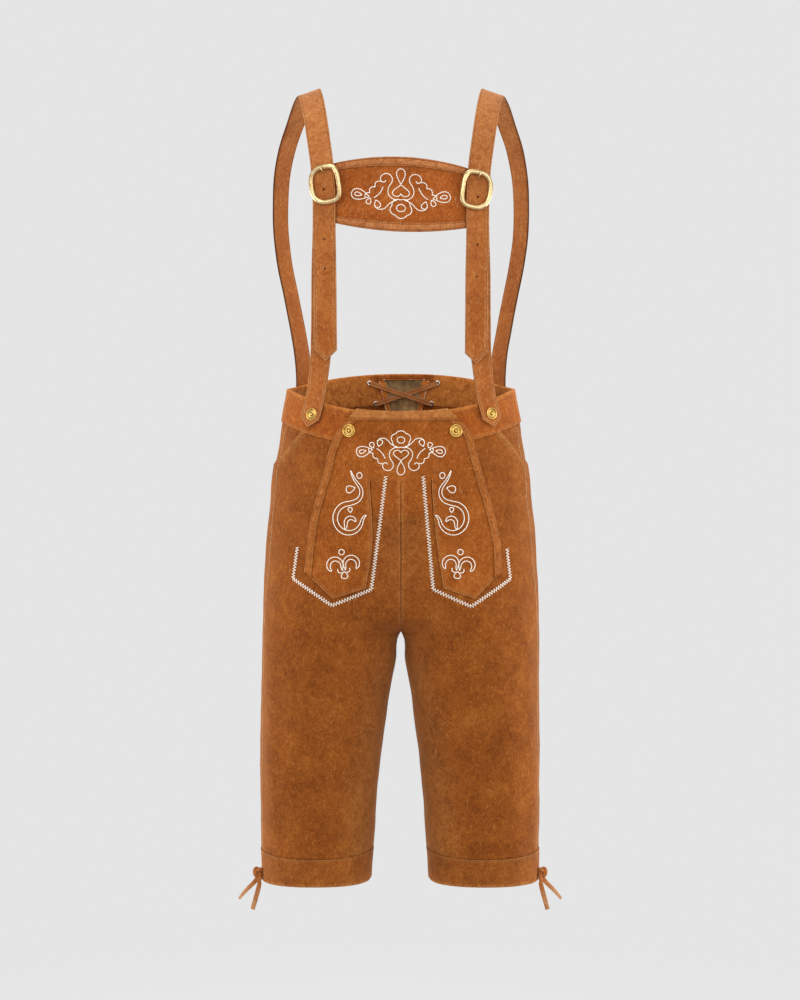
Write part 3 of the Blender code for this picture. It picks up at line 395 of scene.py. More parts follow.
# %% The rings of a leg
Section = namedtuple("Section", "height outer inner front back")
SECTIONS = (
    Section(-0.3600, 0.1490, -0.1490, 0.1035, 0.1030),
    Section(-0.4000, 0.1519, -0.1519, 0.1045, 0.1050),
    Section(-0.4410, 0.1593, -0.1593, 0.1065, 0.1100),
    Section(-0.4776, 0.1650, -0.1650, 0.1085, 0.1155),
    Section(-0.5450, 0.1747, -0.1747, 0.1105, 0.1265),
    Section(-0.5776, 0.1784, -0.1700, 0.1105, 0.1310),
    Section(-0.6316, 0.1826, -0.1180, 0.1095, 0.1335),
    Section(-0.6700, 0.1852, -0.0700, 0.1080, 0.1320),
    Section(-0.7000, 0.1862, -0.0320, 0.1065, 0.1295),
    Section(-0.7180, 0.1866, -0.0105, 0.1055, 0.1270),
    Section(-0.7275, 0.1868, 0.0000, 0.1050, 0.1255),
    Section(-0.7360, 0.1869, 0.0040, 0.1045, 0.1240),
    Section(-0.7640, 0.1870, 0.0069, 0.1030, 0.1195),
    Section(-0.8017, 0.1873, 0.0134, 0.1005, 0.1140),
    Section(-0.8746, 0.1884, 0.0235, 0.0940, 0.1045),
    Section(-0.9367, 0.1886, 0.0306, 0.0885, 0.0975),
    Section(-1.0136, 0.1878, 0.0360, 0.0835, 0.0905),
    Section(-1.0625, 0.1868, 0.0400, 0.0810, 0.0870),
)
ROUNDNESS = 2.4
# The garment does not hang quite straight: its legs lean to its right, and the split behind to its
# left, each by this much below, or above, a stretch of heights.
LEG_LEAN = -0.0013
LEG_LEAN_HEIGHTS = (-0.7000, -0.8500)
SPLIT_LEAN = 0.0042
SPLIT_LEAN_HEIGHTS = (-0.5300, -0.4300)
SIDES = {"left": 1, "right": -1}


def curve_through(knots, values):
    """A smooth curve through values at the rising knots, to be read for a whole array at once."""
    knots = np.asarray(knots, dtype=float)
    values = np.asarray(values, dtype=float)
    slopes = np.gradient(values, knots)

    def read(place):
        place = np.asarray(place, dtype=float)
        index = np.clip(np.searchsorted(knots, place) - 1, 0, len(knots) - 2)
        span = knots[index + 1] - knots[index]
        share = np.clip((place - knots[index]) / span, 0.0, 1.0)
        square = share * share
        cube = square * share
        return (
            (2 * cube - 3 * square + 1) * values[index]
            + (cube - 2 * square + share) * span * slopes[index]
            + (3 * square - 2 * cube) * values[index + 1]
            + (cube - square) * span * slopes[index + 1]
        )

    return read


def smooth_step(start, end, value):
    """Rises softly from 0 at start to 1 at end, which may lie below start."""
    share = np.clip((np.asarray(value, dtype=float) - start) / (end - start), 0.0, 1.0)
    return share * share * (3 - 2 * share)


def signed_power(value, power):
    """A power that keeps the sign; powers under 1 make a circle squarer."""
    return np.sign(value) * np.abs(value) ** power


rising = SECTIONS[::-1]
section_heights = [row.height for row in rising]
read_section = {
    field: curve_through(section_heights, [getattr(row, field) for row in rising])
    for field in ("outer", "inner", "front", "back")
}


def ring(height):
    """The middle and the half width of a leg's ring."""
    outer = read_section["outer"](height)
    inner = np.maximum(read_section["inner"](height), -outer)
    return (outer + inner) / 2, (outer - inner) / 2


def bare_point(side, height, angle):
    """Angles run from 0 at the side, through 90 degrees in front, to 180 at the inner leg."""
    middle, half = ring(height)
    in_front = np.asarray(angle) > 0
    depth = np.where(in_front, read_section["front"](height), read_section["back"](height))
    behind = np.where(np.asarray(angle) < 0, np.sin(angle) ** 4, 0.0)
    x = side * (middle + half * signed_power(np.cos(angle), 2 / ROUNDNESS))
    x = x + LEG_LEAN * smooth_step(*LEG_LEAN_HEIGHTS, height)
    x = x + SPLIT_LEAN * smooth_step(*SPLIT_LEAN_HEIGHTS, height) * behind
    y = -depth * signed_power(np.sin(angle), 2 / ROUNDNESS)
    return np.stack(np.broadcast_arrays(x, y, np.asarray(height, dtype=float)), axis=-1)


print("waist, mm:", round(2000 * float(read_section["outer"](-0.4000))))

# %% [markdown]
# Suede this thick keeps few folds, and they are soft: a trough is a patch pushed in, longer than
# it is wide, a ridge one pushed out.  The table lists them with their own sizes, uneven on
# purpose, for the front, the sides and the back.  On top of them lies a faint undulation of
# the hide, made of slow waves that cross.

# %% Folds and undulation
Fold = namedtuple("Fold", "side height angle length width slant depth")
FOLDS = (
    Fold(0, -0.6950, 118, 0.085, 0.020, -38, -0.0040),
    Fold(1, -0.7450, 132, 0.070, 0.018, -52, -0.0032),
    Fold(-1, -0.7550, 128, 0.075, 0.018, -47, -0.0035),
    Fold(1, -0.8800, 38, 0.150, 0.017, 3, 0.0028),
    Fold(-1, -0.8500, 42, 0.165, 0.018, -4, 0.0030),
    Fold(1, -0.9000, 92, 0.120, 0.022, 6, -0.0025),
    Fold(-1, -0.9250, 98, 0.110, 0.022, -5, -0.0022),
    Fold(0, -0.7450, -100, 0.060, 0.027, 72, -0.0040),
    Fold(1, -0.8650, -105, 0.055, 0.026, 78, -0.0034),
    Fold(-1, -0.8800, -100, 0.055, 0.026, 80, -0.0036),
    Fold(1, -0.9400, -85, 0.050, 0.024, 70, -0.0026),
    Fold(-1, -0.9500, -90, 0.050, 0.024, 74, -0.0026),
    Fold(0, -0.6400, -58, 0.090, 0.022, -20, -0.0032),
    Fold(0, -0.8300, -35, 0.160, 0.020, 2, 0.0030),
)
# Smaller creases of the same kind, too fine for the solids.
CREASES = (
    Fold(1, -0.7180, 150, 0.030, 0.0060, -60, -0.0012),
    Fold(-1, -0.7230, 146, 0.034, 0.0065, -56, -0.0013),
    Fold(1, -0.7480, 158, 0.028, 0.0060, -64, -0.0011),
    Fold(-1, -0.7600, 154, 0.024, 0.0055, -70, -0.0010),
    Fold(1, -0.6650, 128, 0.030, 0.0080, -30, -0.0009),
    Fold(-1, -0.6720, 124, 0.036, 0.0085, -26, -0.0010),
    Fold(1, -0.9700, 60, 0.050, 0.0110, 8, 0.0010),
    Fold(-1, -0.9550, 66, 0.060, 0.0120, -6, 0.0011),
    Fold(1, -0.9850, 118, 0.034, 0.0090, -10, -0.0009),
    Fold(-1, -0.9780, 112, 0.040, 0.0100, 9, -0.0009),
    Fold(1, -0.8050, 70, 0.060, 0.0140, 14, 0.0009),
    Fold(-1, -0.8200, 64, 0.070, 0.0150, -12, 0.0010),
    Fold(1, -0.7350, -128, 0.040, 0.0080, 58, -0.0016),
    Fold(-1, -0.7420, -134, 0.036, 0.0080, 54, -0.0015),
    Fold(1, -0.7900, -142, 0.032, 0.0075, 66, -0.0013),
    Fold(-1, -0.7980, -138, 0.038, 0.0080, 62, -0.0014),
    Fold(0, -0.6850, -118, 0.042, 0.0100, 48, -0.0015),
    Fold(1, -0.9050, -70, 0.034, 0.0100, 64, -0.0012),
    Fold(-1, -0.9150, -64, 0.038, 0.0110, 68, -0.0012),
    Fold(1, -0.9850, -110, 0.030, 0.0090, 40, -0.0010),
    Fold(-1, -0.9900, -104, 0.034, 0.0090, 44, -0.0010),
    Fold(1, -0.5350, 14, 0.034, 0.0090, -14, -0.0010),
    Fold(-1, -0.5450, 10, 0.040, 0.0100, 16, -0.0011),
    Fold(0, -0.5200, -30, 0.040, 0.0110, -10, 0.0010),
    # The pocket mouths gape a little at the side seams.
    Fold(0, -0.5080, 12, 0.030, 0.0300, 0, 0.0019),
)
FOLD_RADIUS = 0.0900
FOLD_FADE = 0.0300
UNDULATION = 0.00030
UNDULATION_WAVES = 14
UNDULATION_LENGTHS = (0.034, 0.110)

random = np.random.default_rng(17)
wave_turns = random.normal(size=(UNDULATION_WAVES, 3))
wave_turns /= np.linalg.norm(wave_turns, axis=1)[:, None]
wave_turns *= 2 * math.pi / random.uniform(*UNDULATION_LENGTHS, size=(UNDULATION_WAVES, 1))
wave_starts = random.uniform(0.0, 2 * math.pi, UNDULATION_WAVES)


def undulation(points):
    """The hide's own slow waves, a few tenths of a millimetre high."""
    phases = points @ wave_turns.T + wave_starts
    return UNDULATION * np.sin(phases).sum(axis=-1) / math.sqrt(UNDULATION_WAVES / 2)


def fold_relief(side, height, angle):
    """All folds and creases together; one with side 0 stands on both sides."""
    relief = np.zeros(np.broadcast(side, height, angle).shape)
    for fold in FOLDS + CREASES:
        around = (angle - math.radians(fold.angle)) * FOLD_RADIUS
        drop = height - fold.height
        slant = math.radians(fold.slant)
        along = drop * math.cos(slant) + around * math.sin(slant)
        across = around * math.cos(slant) - drop * math.sin(slant)
        here = 1.0 if fold.side == 0 else np.asarray(side) == fold.side
        relief += here * fold.depth * np.exp(-((across / fold.width) ** 2) - (along / fold.length) ** 4)
    return relief


NORMAL_STEP = 0.0040
NORMAL_TURN = 0.03


def unit(vectors):
    """Vectors of the same direction with a length of one."""
    return vectors / np.linalg.norm(vectors, axis=-1, keepdims=True)


# Below a pocket's mouth its bag stands the side out a little; above, the mouth is drawn in.
POCKET_CORNER = -0.4963
POCKET_OUT = 0.0013
POCKET_IN = 0.0014
POCKET_RISE = 0.0500
POCKET_STEP = 0.0060
POCKET_BAG = (0.1500, 0.0300)
POCKET_ANGLE = 0.12
POCKET_TURN = math.radians(26)


def pocket_relief(height, angle):
    """How far a pocket moves the side: drawn in up to the mouth's corner, and out at once below it."""
    bag_end, bag_start = POCKET_BAG
    above = smooth_step(POCKET_CORNER + POCKET_RISE, POCKET_CORNER, height)
    below = smooth_step(POCKET_CORNER, POCKET_CORNER - POCKET_STEP, height)
    full = smooth_step(POCKET_CORNER - bag_end, POCKET_CORNER - bag_start, height)
    out = below * (POCKET_IN + POCKET_OUT * full) - POCKET_IN * above
    return out * np.exp(-((angle - POCKET_ANGLE) / POCKET_TURN) ** 2)


def surface(side, height, angle, lift=0.0):
    """Points on the outside of the panels, moved out by lift, and the way the surface looks."""
    side, height, angle, lift = np.broadcast_arrays(side, height, angle, lift)
    down = bare_point(side, height - NORMAL_STEP, angle) - bare_point(side, height + NORMAL_STEP, angle)
    around = bare_point(side, height, angle + NORMAL_TURN) - bare_point(side, height, angle - NORMAL_TURN)
    normals = unit(np.cross(down, around))
    places = bare_point(side, height, angle)
    middle, _ = ring(height)
    away = places - np.stack([side * middle, np.zeros_like(middle), height], axis=-1)
    normals *= np.where((normals * away).sum(axis=-1) < 0, -1.0, 1.0)[..., None]
    relief = fold_relief(side, height, angle) * smooth_step(0.0, FOLD_FADE, np.abs(places[..., 0]))
    out = relief + undulation(places) + pocket_relief(height, angle) + lift
    return places + normals * out[..., None], normals


def angle_at(height, x):
    """The angle on the front at which the body is x away from its middle plane."""
    middle, half = ring(height)
    share = np.clip((np.abs(x) - middle) / half, -1.0, 1.0)
    return np.arccos(signed_power(share, ROUNDNESS / 2))


def front_surface(x, height, lift=0.0, sign=1):
    """The surface in front, or behind where sign is -1, at x from the middle plane."""
    return surface(np.where(np.asarray(x) >= 0, 1, -1), height, sign * angle_at(height, x), lift)


def back_surface(x, height, lift=0.0):
    """The surface behind, at x from the middle plane."""
    return front_surface(x, height, lift, -1)


points, _ = front_surface(np.array([0.0, 0.1]), np.array([-0.55, -0.55]))
print("front at the middle and at 100 mm, mm:", np.round(1000 * points[:, 1], 1))

# %% [markdown]
# The waist dips in front and rises behind, and the hem bands' seams drop at both middles.  A
# row of a panel is therefore named by its height at the side seam, and this function bends it.

# %% Waist and hem lines
WAIST_HEIGHT = -0.4000
WAIST_FRONT_DROP = 0.0323
WAIST_BACK_RISE = 0.0214
WAISTBAND_HEIGHT = 0.0450
TILT_ENDS = -0.6000
HEM_BAND_TOP = -1.0195
HEM_BAND_DROP = 0.0055
HEM_DROP_END = -0.9750
HEM_HEIGHT = -1.0625
SIDE_SEAM_ANGLE = math.radians(17)
GUSSET_TOP_WIDTH = 0.0700
GUSSET_TOP = -0.3786
GUSSET_POINT = -0.5300


def row_height(base, angle):
    """The height at an angle of the row that has the height base at the side seam."""
    middle = np.sin(angle) ** 2
    waist_share = smooth_step(TILT_ENDS, WAIST_HEIGHT - WAISTBAND_HEIGHT, base)
    waist_tilt = np.where(np.asarray(angle) > 0, -WAIST_FRONT_DROP, WAIST_BACK_RISE)
    above_band = smooth_step(HEM_BAND_TOP, HEM_DROP_END, base)
    hem_share = smooth_step(HEM_HEIGHT, HEM_BAND_TOP, base) * (1 - above_band)
    return base + middle * (waist_tilt * waist_share - HEM_BAND_DROP * hem_share)


def gusset_half_width(height):
    """The gusset is a V with nearly straight edges."""
    share = np.maximum((height - GUSSET_POINT) / (GUSSET_TOP - GUSSET_POINT), 0.0)
    return GUSSET_TOP_WIDTH / 2 * share ** 1.1


def inner_angle(base, face):
    """Where a row starts: at the centre plane, at the gusset's edge or at the inseam."""
    sign = 1 if face == "front" else -1
    height = float(row_height(base, sign * math.pi / 2))
    middle, half = ring(height)
    if middle >= half:
        return sign * math.pi
    edge = 0.0 if face == "front" else float(gusset_half_width(height))
    return sign * math.acos(max(-1.0, float(signed_power((edge - middle) / half, ROUNDNESS / 2))))


ARC_SAMPLES = 140


def run_along(points):
    """The distance of each point from the first, along the line through them."""
    return np.concatenate([[0.0], np.cumsum(np.linalg.norm(np.diff(points, axis=0), axis=1))])


def angles_at(side, base, start, end, places):
    """The angles at which a row, running from start to end, has come the wanted distances.

    places(length) gives these distances along a row of that length."""
    angles = np.linspace(start, end, ARC_SAMPLES)
    run = run_along(bare_point(side, row_height(base, angles), angles))
    wanted = places(run[-1])
    return np.interp(wanted, run, angles), wanted, run[-1]


print("front waist at the middle, mm:", round(1000 * float(row_height(WAIST_HEIGHT, math.pi / 2)), 1))

# %% [markdown]
# ## Making a sheet of leather
#
# Every cut piece is an open sheet of quads through a grid of points, its right side out.  A
# Solidify modifier gives it the hide's thickness and a Bevel rounds its cut edges.  The grid
# follows the piece's own edges, so that seams can be pressed into it: a table says how high
# the sheet stands at each distance from an edge.

# %% Sheets
# Each row gives a distance from the edge, a lift, and a value that makes the leather paler where it is worn.
# Below nought, the value paints shade into the seam's grooves and onto the rim of a cut edge, whose cut
# leather is itself partly darker.
Seam = namedtuple("Seam", "distance lift wear")
# A cut edge that is turned down and stitched once: the sheet dips at the stitches.
STITCHED_EDGE = (
    Seam(0.0000, -0.00050, -1.0), Seam(0.0005, -0.00012, 0.7), Seam(0.0012, 0.00012, 0.6),
    Seam(0.0022, -0.00045, -0.6), Seam(0.0032, 0.00014, 0.4), Seam(0.0048, 0.00004, 0.1),
    Seam(0.0066, 0.00000, 0.0),
)
# Two panels sewn right sides together: a valley with a soft ridge of turnings beside it.
JOINED_EDGE = (
    Seam(0.0000, -0.00120, -0.7), Seam(0.0006, -0.00060, -0.2), Seam(0.0014, -0.00012, 0.7),
    Seam(0.0024, 0.00018, 0.6), Seam(0.0042, 0.00028, 0.25), Seam(0.0062, 0.00016, 0.1),
    Seam(0.0085, 0.00000, 0.0),
)


def distances(seam):
    """The distances from the edge for which a seam's table gives values."""
    return np.array([row.distance for row in seam])


def seam_lift(seam, distance):
    """How far a seam lifts the leather at a distance from its edge, or presses it where negative."""
    return np.interp(distance, distances(seam), [row.lift for row in seam])


def seam_wear_and_painted_shade(seam, distance):
    """How much paler the leather is from use at a distance from a seam's edge, or, where negative, how much
    shade is painted into a groove or onto a cut edge's rim.
    """
    return np.interp(distance, distances(seam), [row.wear for row in seam])


def stronger(first, second):
    """Of two values of paleness and painted light and shade, the one further from nought."""
    first, second = np.broadcast_arrays(first, second)
    return np.where(np.abs(first) >= np.abs(second), first, second)


def seam_places(length, start, end, spacing):
    """Distances along a row: those of the seams at its ends, and even ones between."""
    first = distances(start)
    last = length - distances(end)[::-1]
    count = max(2, int(round((last[0] - first[-1]) / spacing)) + 1)
    return np.concatenate([first[:-1], np.linspace(first[-1], last[0], count), last[1:]])


def store(mesh, name, kind, field, values):
    """Stores values at a mesh's points, for materials and node trees to read."""
    values = np.asarray(values, dtype=np.float32).ravel()
    mesh.attributes.new(name, kind, "POINT").data.foreach_set(field, values)


def sheet_mesh(name, points, outward, material, wear, keep=None, extra=None):
    """A mesh of quads through a grid of points, with its size in metres as its UV map.

    Quads are left out where keep is false, and extra(...) may add points and faces of its own."""
    rows, columns = points.shape[:2]
    numbers = np.arange(rows * columns).reshape(rows, columns)
    quads = np.stack([numbers[:-1, :-1], numbers[1:, :-1], numbers[1:, 1:], numbers[:-1, 1:]], axis=-1)
    chosen = quads.reshape(-1, 4) if keep is None else quads[keep]
    flat = points.reshape(-1, 3)
    looks = np.cross(flat[chosen[:, 2]] - flat[chosen[:, 0]], flat[chosen[:, 3]] - flat[chosen[:, 1]])
    if (looks * outward.reshape(-1, 3)[chosen[:, 0]]).sum() < 0:
        chosen = chosen[:, ::-1]
    across = np.linalg.norm(np.diff(points, axis=1), axis=2).mean(axis=0)
    down = np.linalg.norm(np.diff(points, axis=0), axis=2).mean(axis=1)
    u = np.concatenate(([0.0], np.cumsum(across)))
    v = np.concatenate(([0.0], np.cumsum(down)))
    places = np.stack(np.meshgrid(u, v), axis=-1).reshape(-1, 2)
    worn_and_painted_light = np.asarray(wear, dtype=float).reshape(-1)
    faces = chosen.tolist()
    if extra:
        more_points, more_faces, more_places, more_wear = extra(flat, places, chosen)
        flat = np.concatenate([flat, more_points])
        places = np.concatenate([places, more_places])
        worn_and_painted_light = np.concatenate([worn_and_painted_light, more_wear])
        faces += more_faces
    used = np.unique(np.concatenate([np.asarray(face) for face in faces]))
    renumber = np.full(len(flat), -1)
    renumber[used] = np.arange(len(used))
    faces = [[int(renumber[corner]) for corner in face] for face in faces]
    mesh = bpy.data.meshes.new(name)
    mesh.from_pydata(flat[used].tolist(), [], faces)
    loops = np.empty(len(mesh.loops), dtype=np.int32)
    mesh.loops.foreach_get("vertex_index", loops)
    mesh.uv_layers.new(name="cloth").data.foreach_set("uv", places[used][loops].astype(np.float32).ravel())
    store(mesh, "wear", "FLOAT", "value", worn_and_painted_light[used])
    mesh.materials.append(material)
    mesh.shade_smooth()
    return mesh


def add_piece(name, mesh, slot, *nodes):
    """A finished piece: it rides on the one body and stands for the solids that it names."""
    piece = into_scene(name, mesh)
    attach(piece, "root")
    if nodes:
        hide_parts(*nodes)
    return piece


CUT_EDGE_TURN = math.radians(55)


def thicken(piece, thickness, rounding):
    """The hide's thickness, laid on inwards, and its rounded cut edges."""
    wall = piece.modifiers.new("hide", "SOLIDIFY")
    wall.thickness = thickness
    wall.offset = -1.0
    if rounding:
        edge = piece.modifiers.new("cut_edge", "BEVEL")
        edge.width = rounding
        edge.segments = 2
        edge.limit_method = "ANGLE"
        edge.angle_limit = CUT_EDGE_TURN
        edge.harden_normals = False


def sheet_size(points, keep=None):
    """The width, length and area of a sheet laid flat."""
    across = np.linalg.norm(np.diff(points, axis=1), axis=2).sum(axis=1)
    down = np.linalg.norm(np.diff(points, axis=0), axis=2).sum(axis=0)
    sides = np.cross(points[1:, 1:] - points[:-1, :-1], points[1:, :-1] - points[:-1, 1:])
    areas = np.linalg.norm(sides, axis=2) / 2
    area = areas.sum() if keep is None else areas[keep].sum()
    return float(across.max()), float(down.max()), float(area)


def declare_sheet(piece, points, rests_on=("shoulder_strap_left",), keep=None):
    """Prints the cut: width and length in whole millimetres, area in square centimetres. States the
    cut, rounded up to a tenth of a millimetre, which leaves it a little over the area.
    """
    width, length, area = sheet_size(points, keep)
    list(rests_on)
    print(f"{piece.name}: cut {1000 * width:.0f} x {1000 * length:.0f} mm, {1e4 * area:.0f} square cm")


TRIM_ROUNDING = 0.00025


def add_trim(node, points, outward, wear, material, thickness, rests_on):
    """A narrow strip of thinned hide that takes the place of one solid."""
    mesh = sheet_mesh("strip", points, outward, material, wear)
    piece = add_piece(f"{node}_sewn", mesh, "suede_trim", node)
    thicken(piece, thickness, TRIM_ROUNDING)
    declare_sheet(piece, points, rests_on)


# %% [markdown]
# ## The four body panels
#
# Each leg is a front and a back panel, cut from a 2 mm hide and sewn at the centre, the side and
# the inner leg.  Above the hem band the leather is slightly gathered by its seam, so short soft
# puckers stand there, uneven in width; a few smaller ones hang from the waistband's seam.

# %% Panels
SUEDE = 0.0020
PANEL_SPACING = 0.0032
PANEL_TOP = WAIST_HEIGHT - 0.0032
PANEL_BOTTOM = HEM_HEIGHT + 0.0030
# Every row has its columns where this row, at the hips, has them, as shares of its length.
PATTERN_ROW = -0.62
WAIST_SEAM = WAIST_HEIGHT - WAISTBAND_HEIGHT
PUCKER_REACH = 0.0240
PUCKER_SHIFT = 4.0
WAIST_PUCKERS = 0.5
MIDDLE_REACH = 0.0004
# Rows close to the hem band's seam, by their height over it, and the gaps in the even rows for them.
HEM_SEAM_ROWS = (0.0030, 0.0018, 0.0008, 0.0000, -0.0008)
HEM_ROWS_ABOVE = 0.0030
HEM_ROWS_BELOW = 0.0020
HEM_SINK = 0.0010
WAIST_SINK = 0.0007
# Painted light on the inner legs, which lifts the shade between them: below the first height, all of it below
# the second; the fly above is made paler too.
INSEAM_PAINTED_LIGHT = 0.40
INSEAM_LIGHT_FULL = 0.0620
INSEAM_REACH = 0.1150
INSEAM_HEIGHTS = (-0.70, -0.78)
FLY_LIGHTENING = 0.20
FLY_REACH = 0.0600
FLY_HEIGHTS = (-0.70, -0.62)
SEAM_WEAR_AND_PAINTED_SHADE = 0.8
Pucker = namedtuple("Pucker", "angle width depth")
HEM_PUCKERS = (
    Pucker(28, 4.0, 0.0006), Pucker(41, 5.5, -0.0007), Pucker(55, 4.5, 0.0008), Pucker(69, 6.5, -0.0008),
    Pucker(81, 4.0, 0.0006), Pucker(93, 5.5, -0.0007), Pucker(108, 6.0, 0.0009), Pucker(121, 4.5, -0.0008),
    Pucker(137, 6.0, 0.0006), Pucker(150, 5.0, -0.0007), Pucker(-12, 6.0, -0.0006), Pucker(-33, 5.0, 0.0008),
    Pucker(-52, 6.5, -0.0009), Pucker(-70, 4.5, 0.0006), Pucker(-88, 6.0, -0.0007), Pucker(-106, 5.0, 0.0008),
    Pucker(-124, 5.5, -0.0008), Pucker(-143, 5.0, 0.0007),
)


def pucker_relief(side, base, angle, line):
    """Short ridges and troughs that start at a seam and die out above or below it."""
    turned = np.degrees(angle) + side * PUCKER_SHIFT
    relief = sum(
        pucker.depth * np.exp(-(((turned - pucker.angle) / pucker.width) ** 2)) for pucker in HEM_PUCKERS)
    return relief * (1 - np.clip(np.abs(base - line) / PUCKER_REACH, 0.0, 1.0)) ** 2


def panel_rows():
    """The rows' heights, even ones between the waist and the hem and close ones at the hem band's seam."""
    stretches = ((PANEL_TOP, HEM_BAND_TOP + HEM_ROWS_ABOVE), (HEM_BAND_TOP - HEM_ROWS_BELOW, PANEL_BOTTOM))
    rows = [*(HEM_BAND_TOP + np.array(HEM_SEAM_ROWS)), PANEL_BOTTOM]
    for start, end in stretches:
        rows.extend(np.linspace(start, end, int(round((start - end) / PANEL_SPACING)) + 1)[:-1])
    return np.sort(rows)[::-1]


def panel_columns(side, face, bases):
    """The angle of each point of each row, its distance from the row's start, and the rows' lengths."""
    seam = distances(JOINED_EDGE)
    _, pattern, _ = angles_at(side, PATTERN_ROW, inner_angle(PATTERN_ROW, face), SIDE_SEAM_ANGLE,
                              lambda length: seam_places(length, JOINED_EDGE, JOINED_EDGE, PANEL_SPACING))
    between = pattern[len(seam) - 1:-len(seam) + 1]
    shares = (between - between[0]) / (between[-1] - between[0])

    def places(length):
        last = length - seam[::-1]
        return np.concatenate([seam[:-1], seam[-1] + shares * (last[0] - seam[-1]), last[1:]])

    rows = [angles_at(side, base, inner_angle(base, face), SIDE_SEAM_ANGLE, places) for base in bases]
    angles, run, lengths = (np.array(values) for values in zip(*rows))
    return angles, run, lengths[:, None]


def panel_sheet(side, face):
    """One of the four panels: its points, the way they look, and how pale each point is from use and painted
    light, and how dark from painted shade.
    """
    bases = panel_rows()
    angles, run, length = panel_columns(side, face, bases)
    to_edge = np.minimum(run, length - run)
    base = np.repeat(bases[:, None], angles.shape[1], axis=1)
    height = row_height(base, angles)
    free_edge = (face == "back") & (height > GUSSET_POINT) & (run < length / 2)
    lift = np.where(free_edge, seam_lift(STITCHED_EDGE, to_edge), seam_lift(JOINED_EDGE, to_edge))
    lift = lift + pucker_relief(side, base, angles, HEM_BAND_TOP) * (base > HEM_BAND_TOP)
    lift = lift + WAIST_PUCKERS * pucker_relief(-side, base, angles, WAIST_SEAM) * (base < WAIST_SEAM)
    # Under the bands the panel lies a little lower, so that it never shows through them.
    covered = smooth_step(0.0, 0.004, base - WAIST_SEAM - 0.002)
    sunk = smooth_step(0.0022, -0.0012, base - HEM_BAND_TOP)
    lift = lift - WAIST_SINK * covered - HEM_SINK * sunk
    wear = SEAM_WEAR_AND_PAINTED_SHADE * seam_wear_and_painted_shade(JOINED_EDGE, to_edge)
    # Painted light lifts the shade on the inner legs; beside the fly the front is made paler too.
    lightened = INSEAM_PAINTED_LIGHT * smooth_step(INSEAM_REACH, INSEAM_LIGHT_FULL, run) * smooth_step(*INSEAM_HEIGHTS, base)
    if face == "front":
        lightened = lightened + FLY_LIGHTENING * smooth_step(FLY_REACH, 0.0, run) * smooth_step(*FLY_HEIGHTS, base)
    wear = np.where(wear >= 0, np.maximum(wear, lightened), wear)
    # A faint painted shadow darkens the panel along the hem band's top edge.
    wear = stronger(wear, -0.15 * smooth_step(0.0012, 0.0, np.abs(base - HEM_BAND_TOP)))
    points, outward = surface(side, height, angles, lift)
    # Pressed in along its slanting normal, the centre seam would gape: its edge is drawn back.
    at_middle = np.abs(bare_point(side, height[:, 0], angles[:, 0])[:, 0]) < MIDDLE_REACH
    pull = np.where(at_middle, points[:, 0, 0], 0.0)[:, None]
    points[..., 0] -= pull * np.clip(1 - run / JOINED_EDGE[-1].distance, 0.0, 1.0)
    return points, outward, wear


for side_name, side in SIDES.items():
    for face in ("front", "back"):
        points, outward, wear = panel_sheet(side, face)
        mesh = sheet_mesh("hide", points, outward, leg_suede, wear)
        nodes = [f"{face}_{part}_{side_name}" for part in ("hip", "leg")]
        piece = add_piece(f"{face}_panel_{side_name}", mesh, "suede_body", *nodes)
        thicken(piece, SUEDE, 0.0)
        declare_sheet(piece, points)

# %% [markdown]
# ## Waistband and hem bands
#
# A band is one strip folded over the panel's raw edge and stitched through.  Its sheet starts
# inside, comes up, rolls over the edge and runs down the outside to its stitched seam.  Made as
# one folded sheet, the edge gets its soft round shape from the real fold.

# %% Folded bands
BAND = 0.0016
BAND_HIDE = 0.0009
LAY_GAP = 0.00035
FOLD_STEPS = 9
FACING_ROWS = 8
# Painted light on the band's inside facing, which lifts the shade inside the waist.
FACING_PAINTED_LIGHT = 0.85
FOLD_WEAR = 0.7
BandFold = namedtuple("BandFold", "outside inside reach")
WAIST_FOLD = BandFold(BAND + LAY_GAP, -(SUEDE + BAND_HIDE), 0.0430)
HEM_FOLD = BandFold(0.0007, -(SUEDE + HEM_SINK + BAND_HIDE), 0.0160)
# Distances along the outside of the band from its rolled edge, stitched 5 mm from the roll.
ROLLED_EDGE = (
    Seam(0.0000, 0.00000, 0.80), Seam(0.0012, 0.00006, 0.45), Seam(0.0034, 0.00004, 0.20),
    Seam(0.0046, -0.00030, -0.20), Seam(0.0058, 0.00006, 0.30), Seam(0.0080, 0.00000, 0.05),
)
PLAIN_ROLL = (Seam(0.0000, 0.00000, 0.80), Seam(0.0012, 0.00004, 0.40), Seam(0.0040, 0.00000, 0.10))
WAISTBAND_ROW = 0.22
HEM_ROW = 0.24


def fold_turn():
    """The angles of the rows that go round a fold, from its inside to its outside."""
    return np.linspace(math.pi, 0.0, FOLD_STEPS)[1:-1]


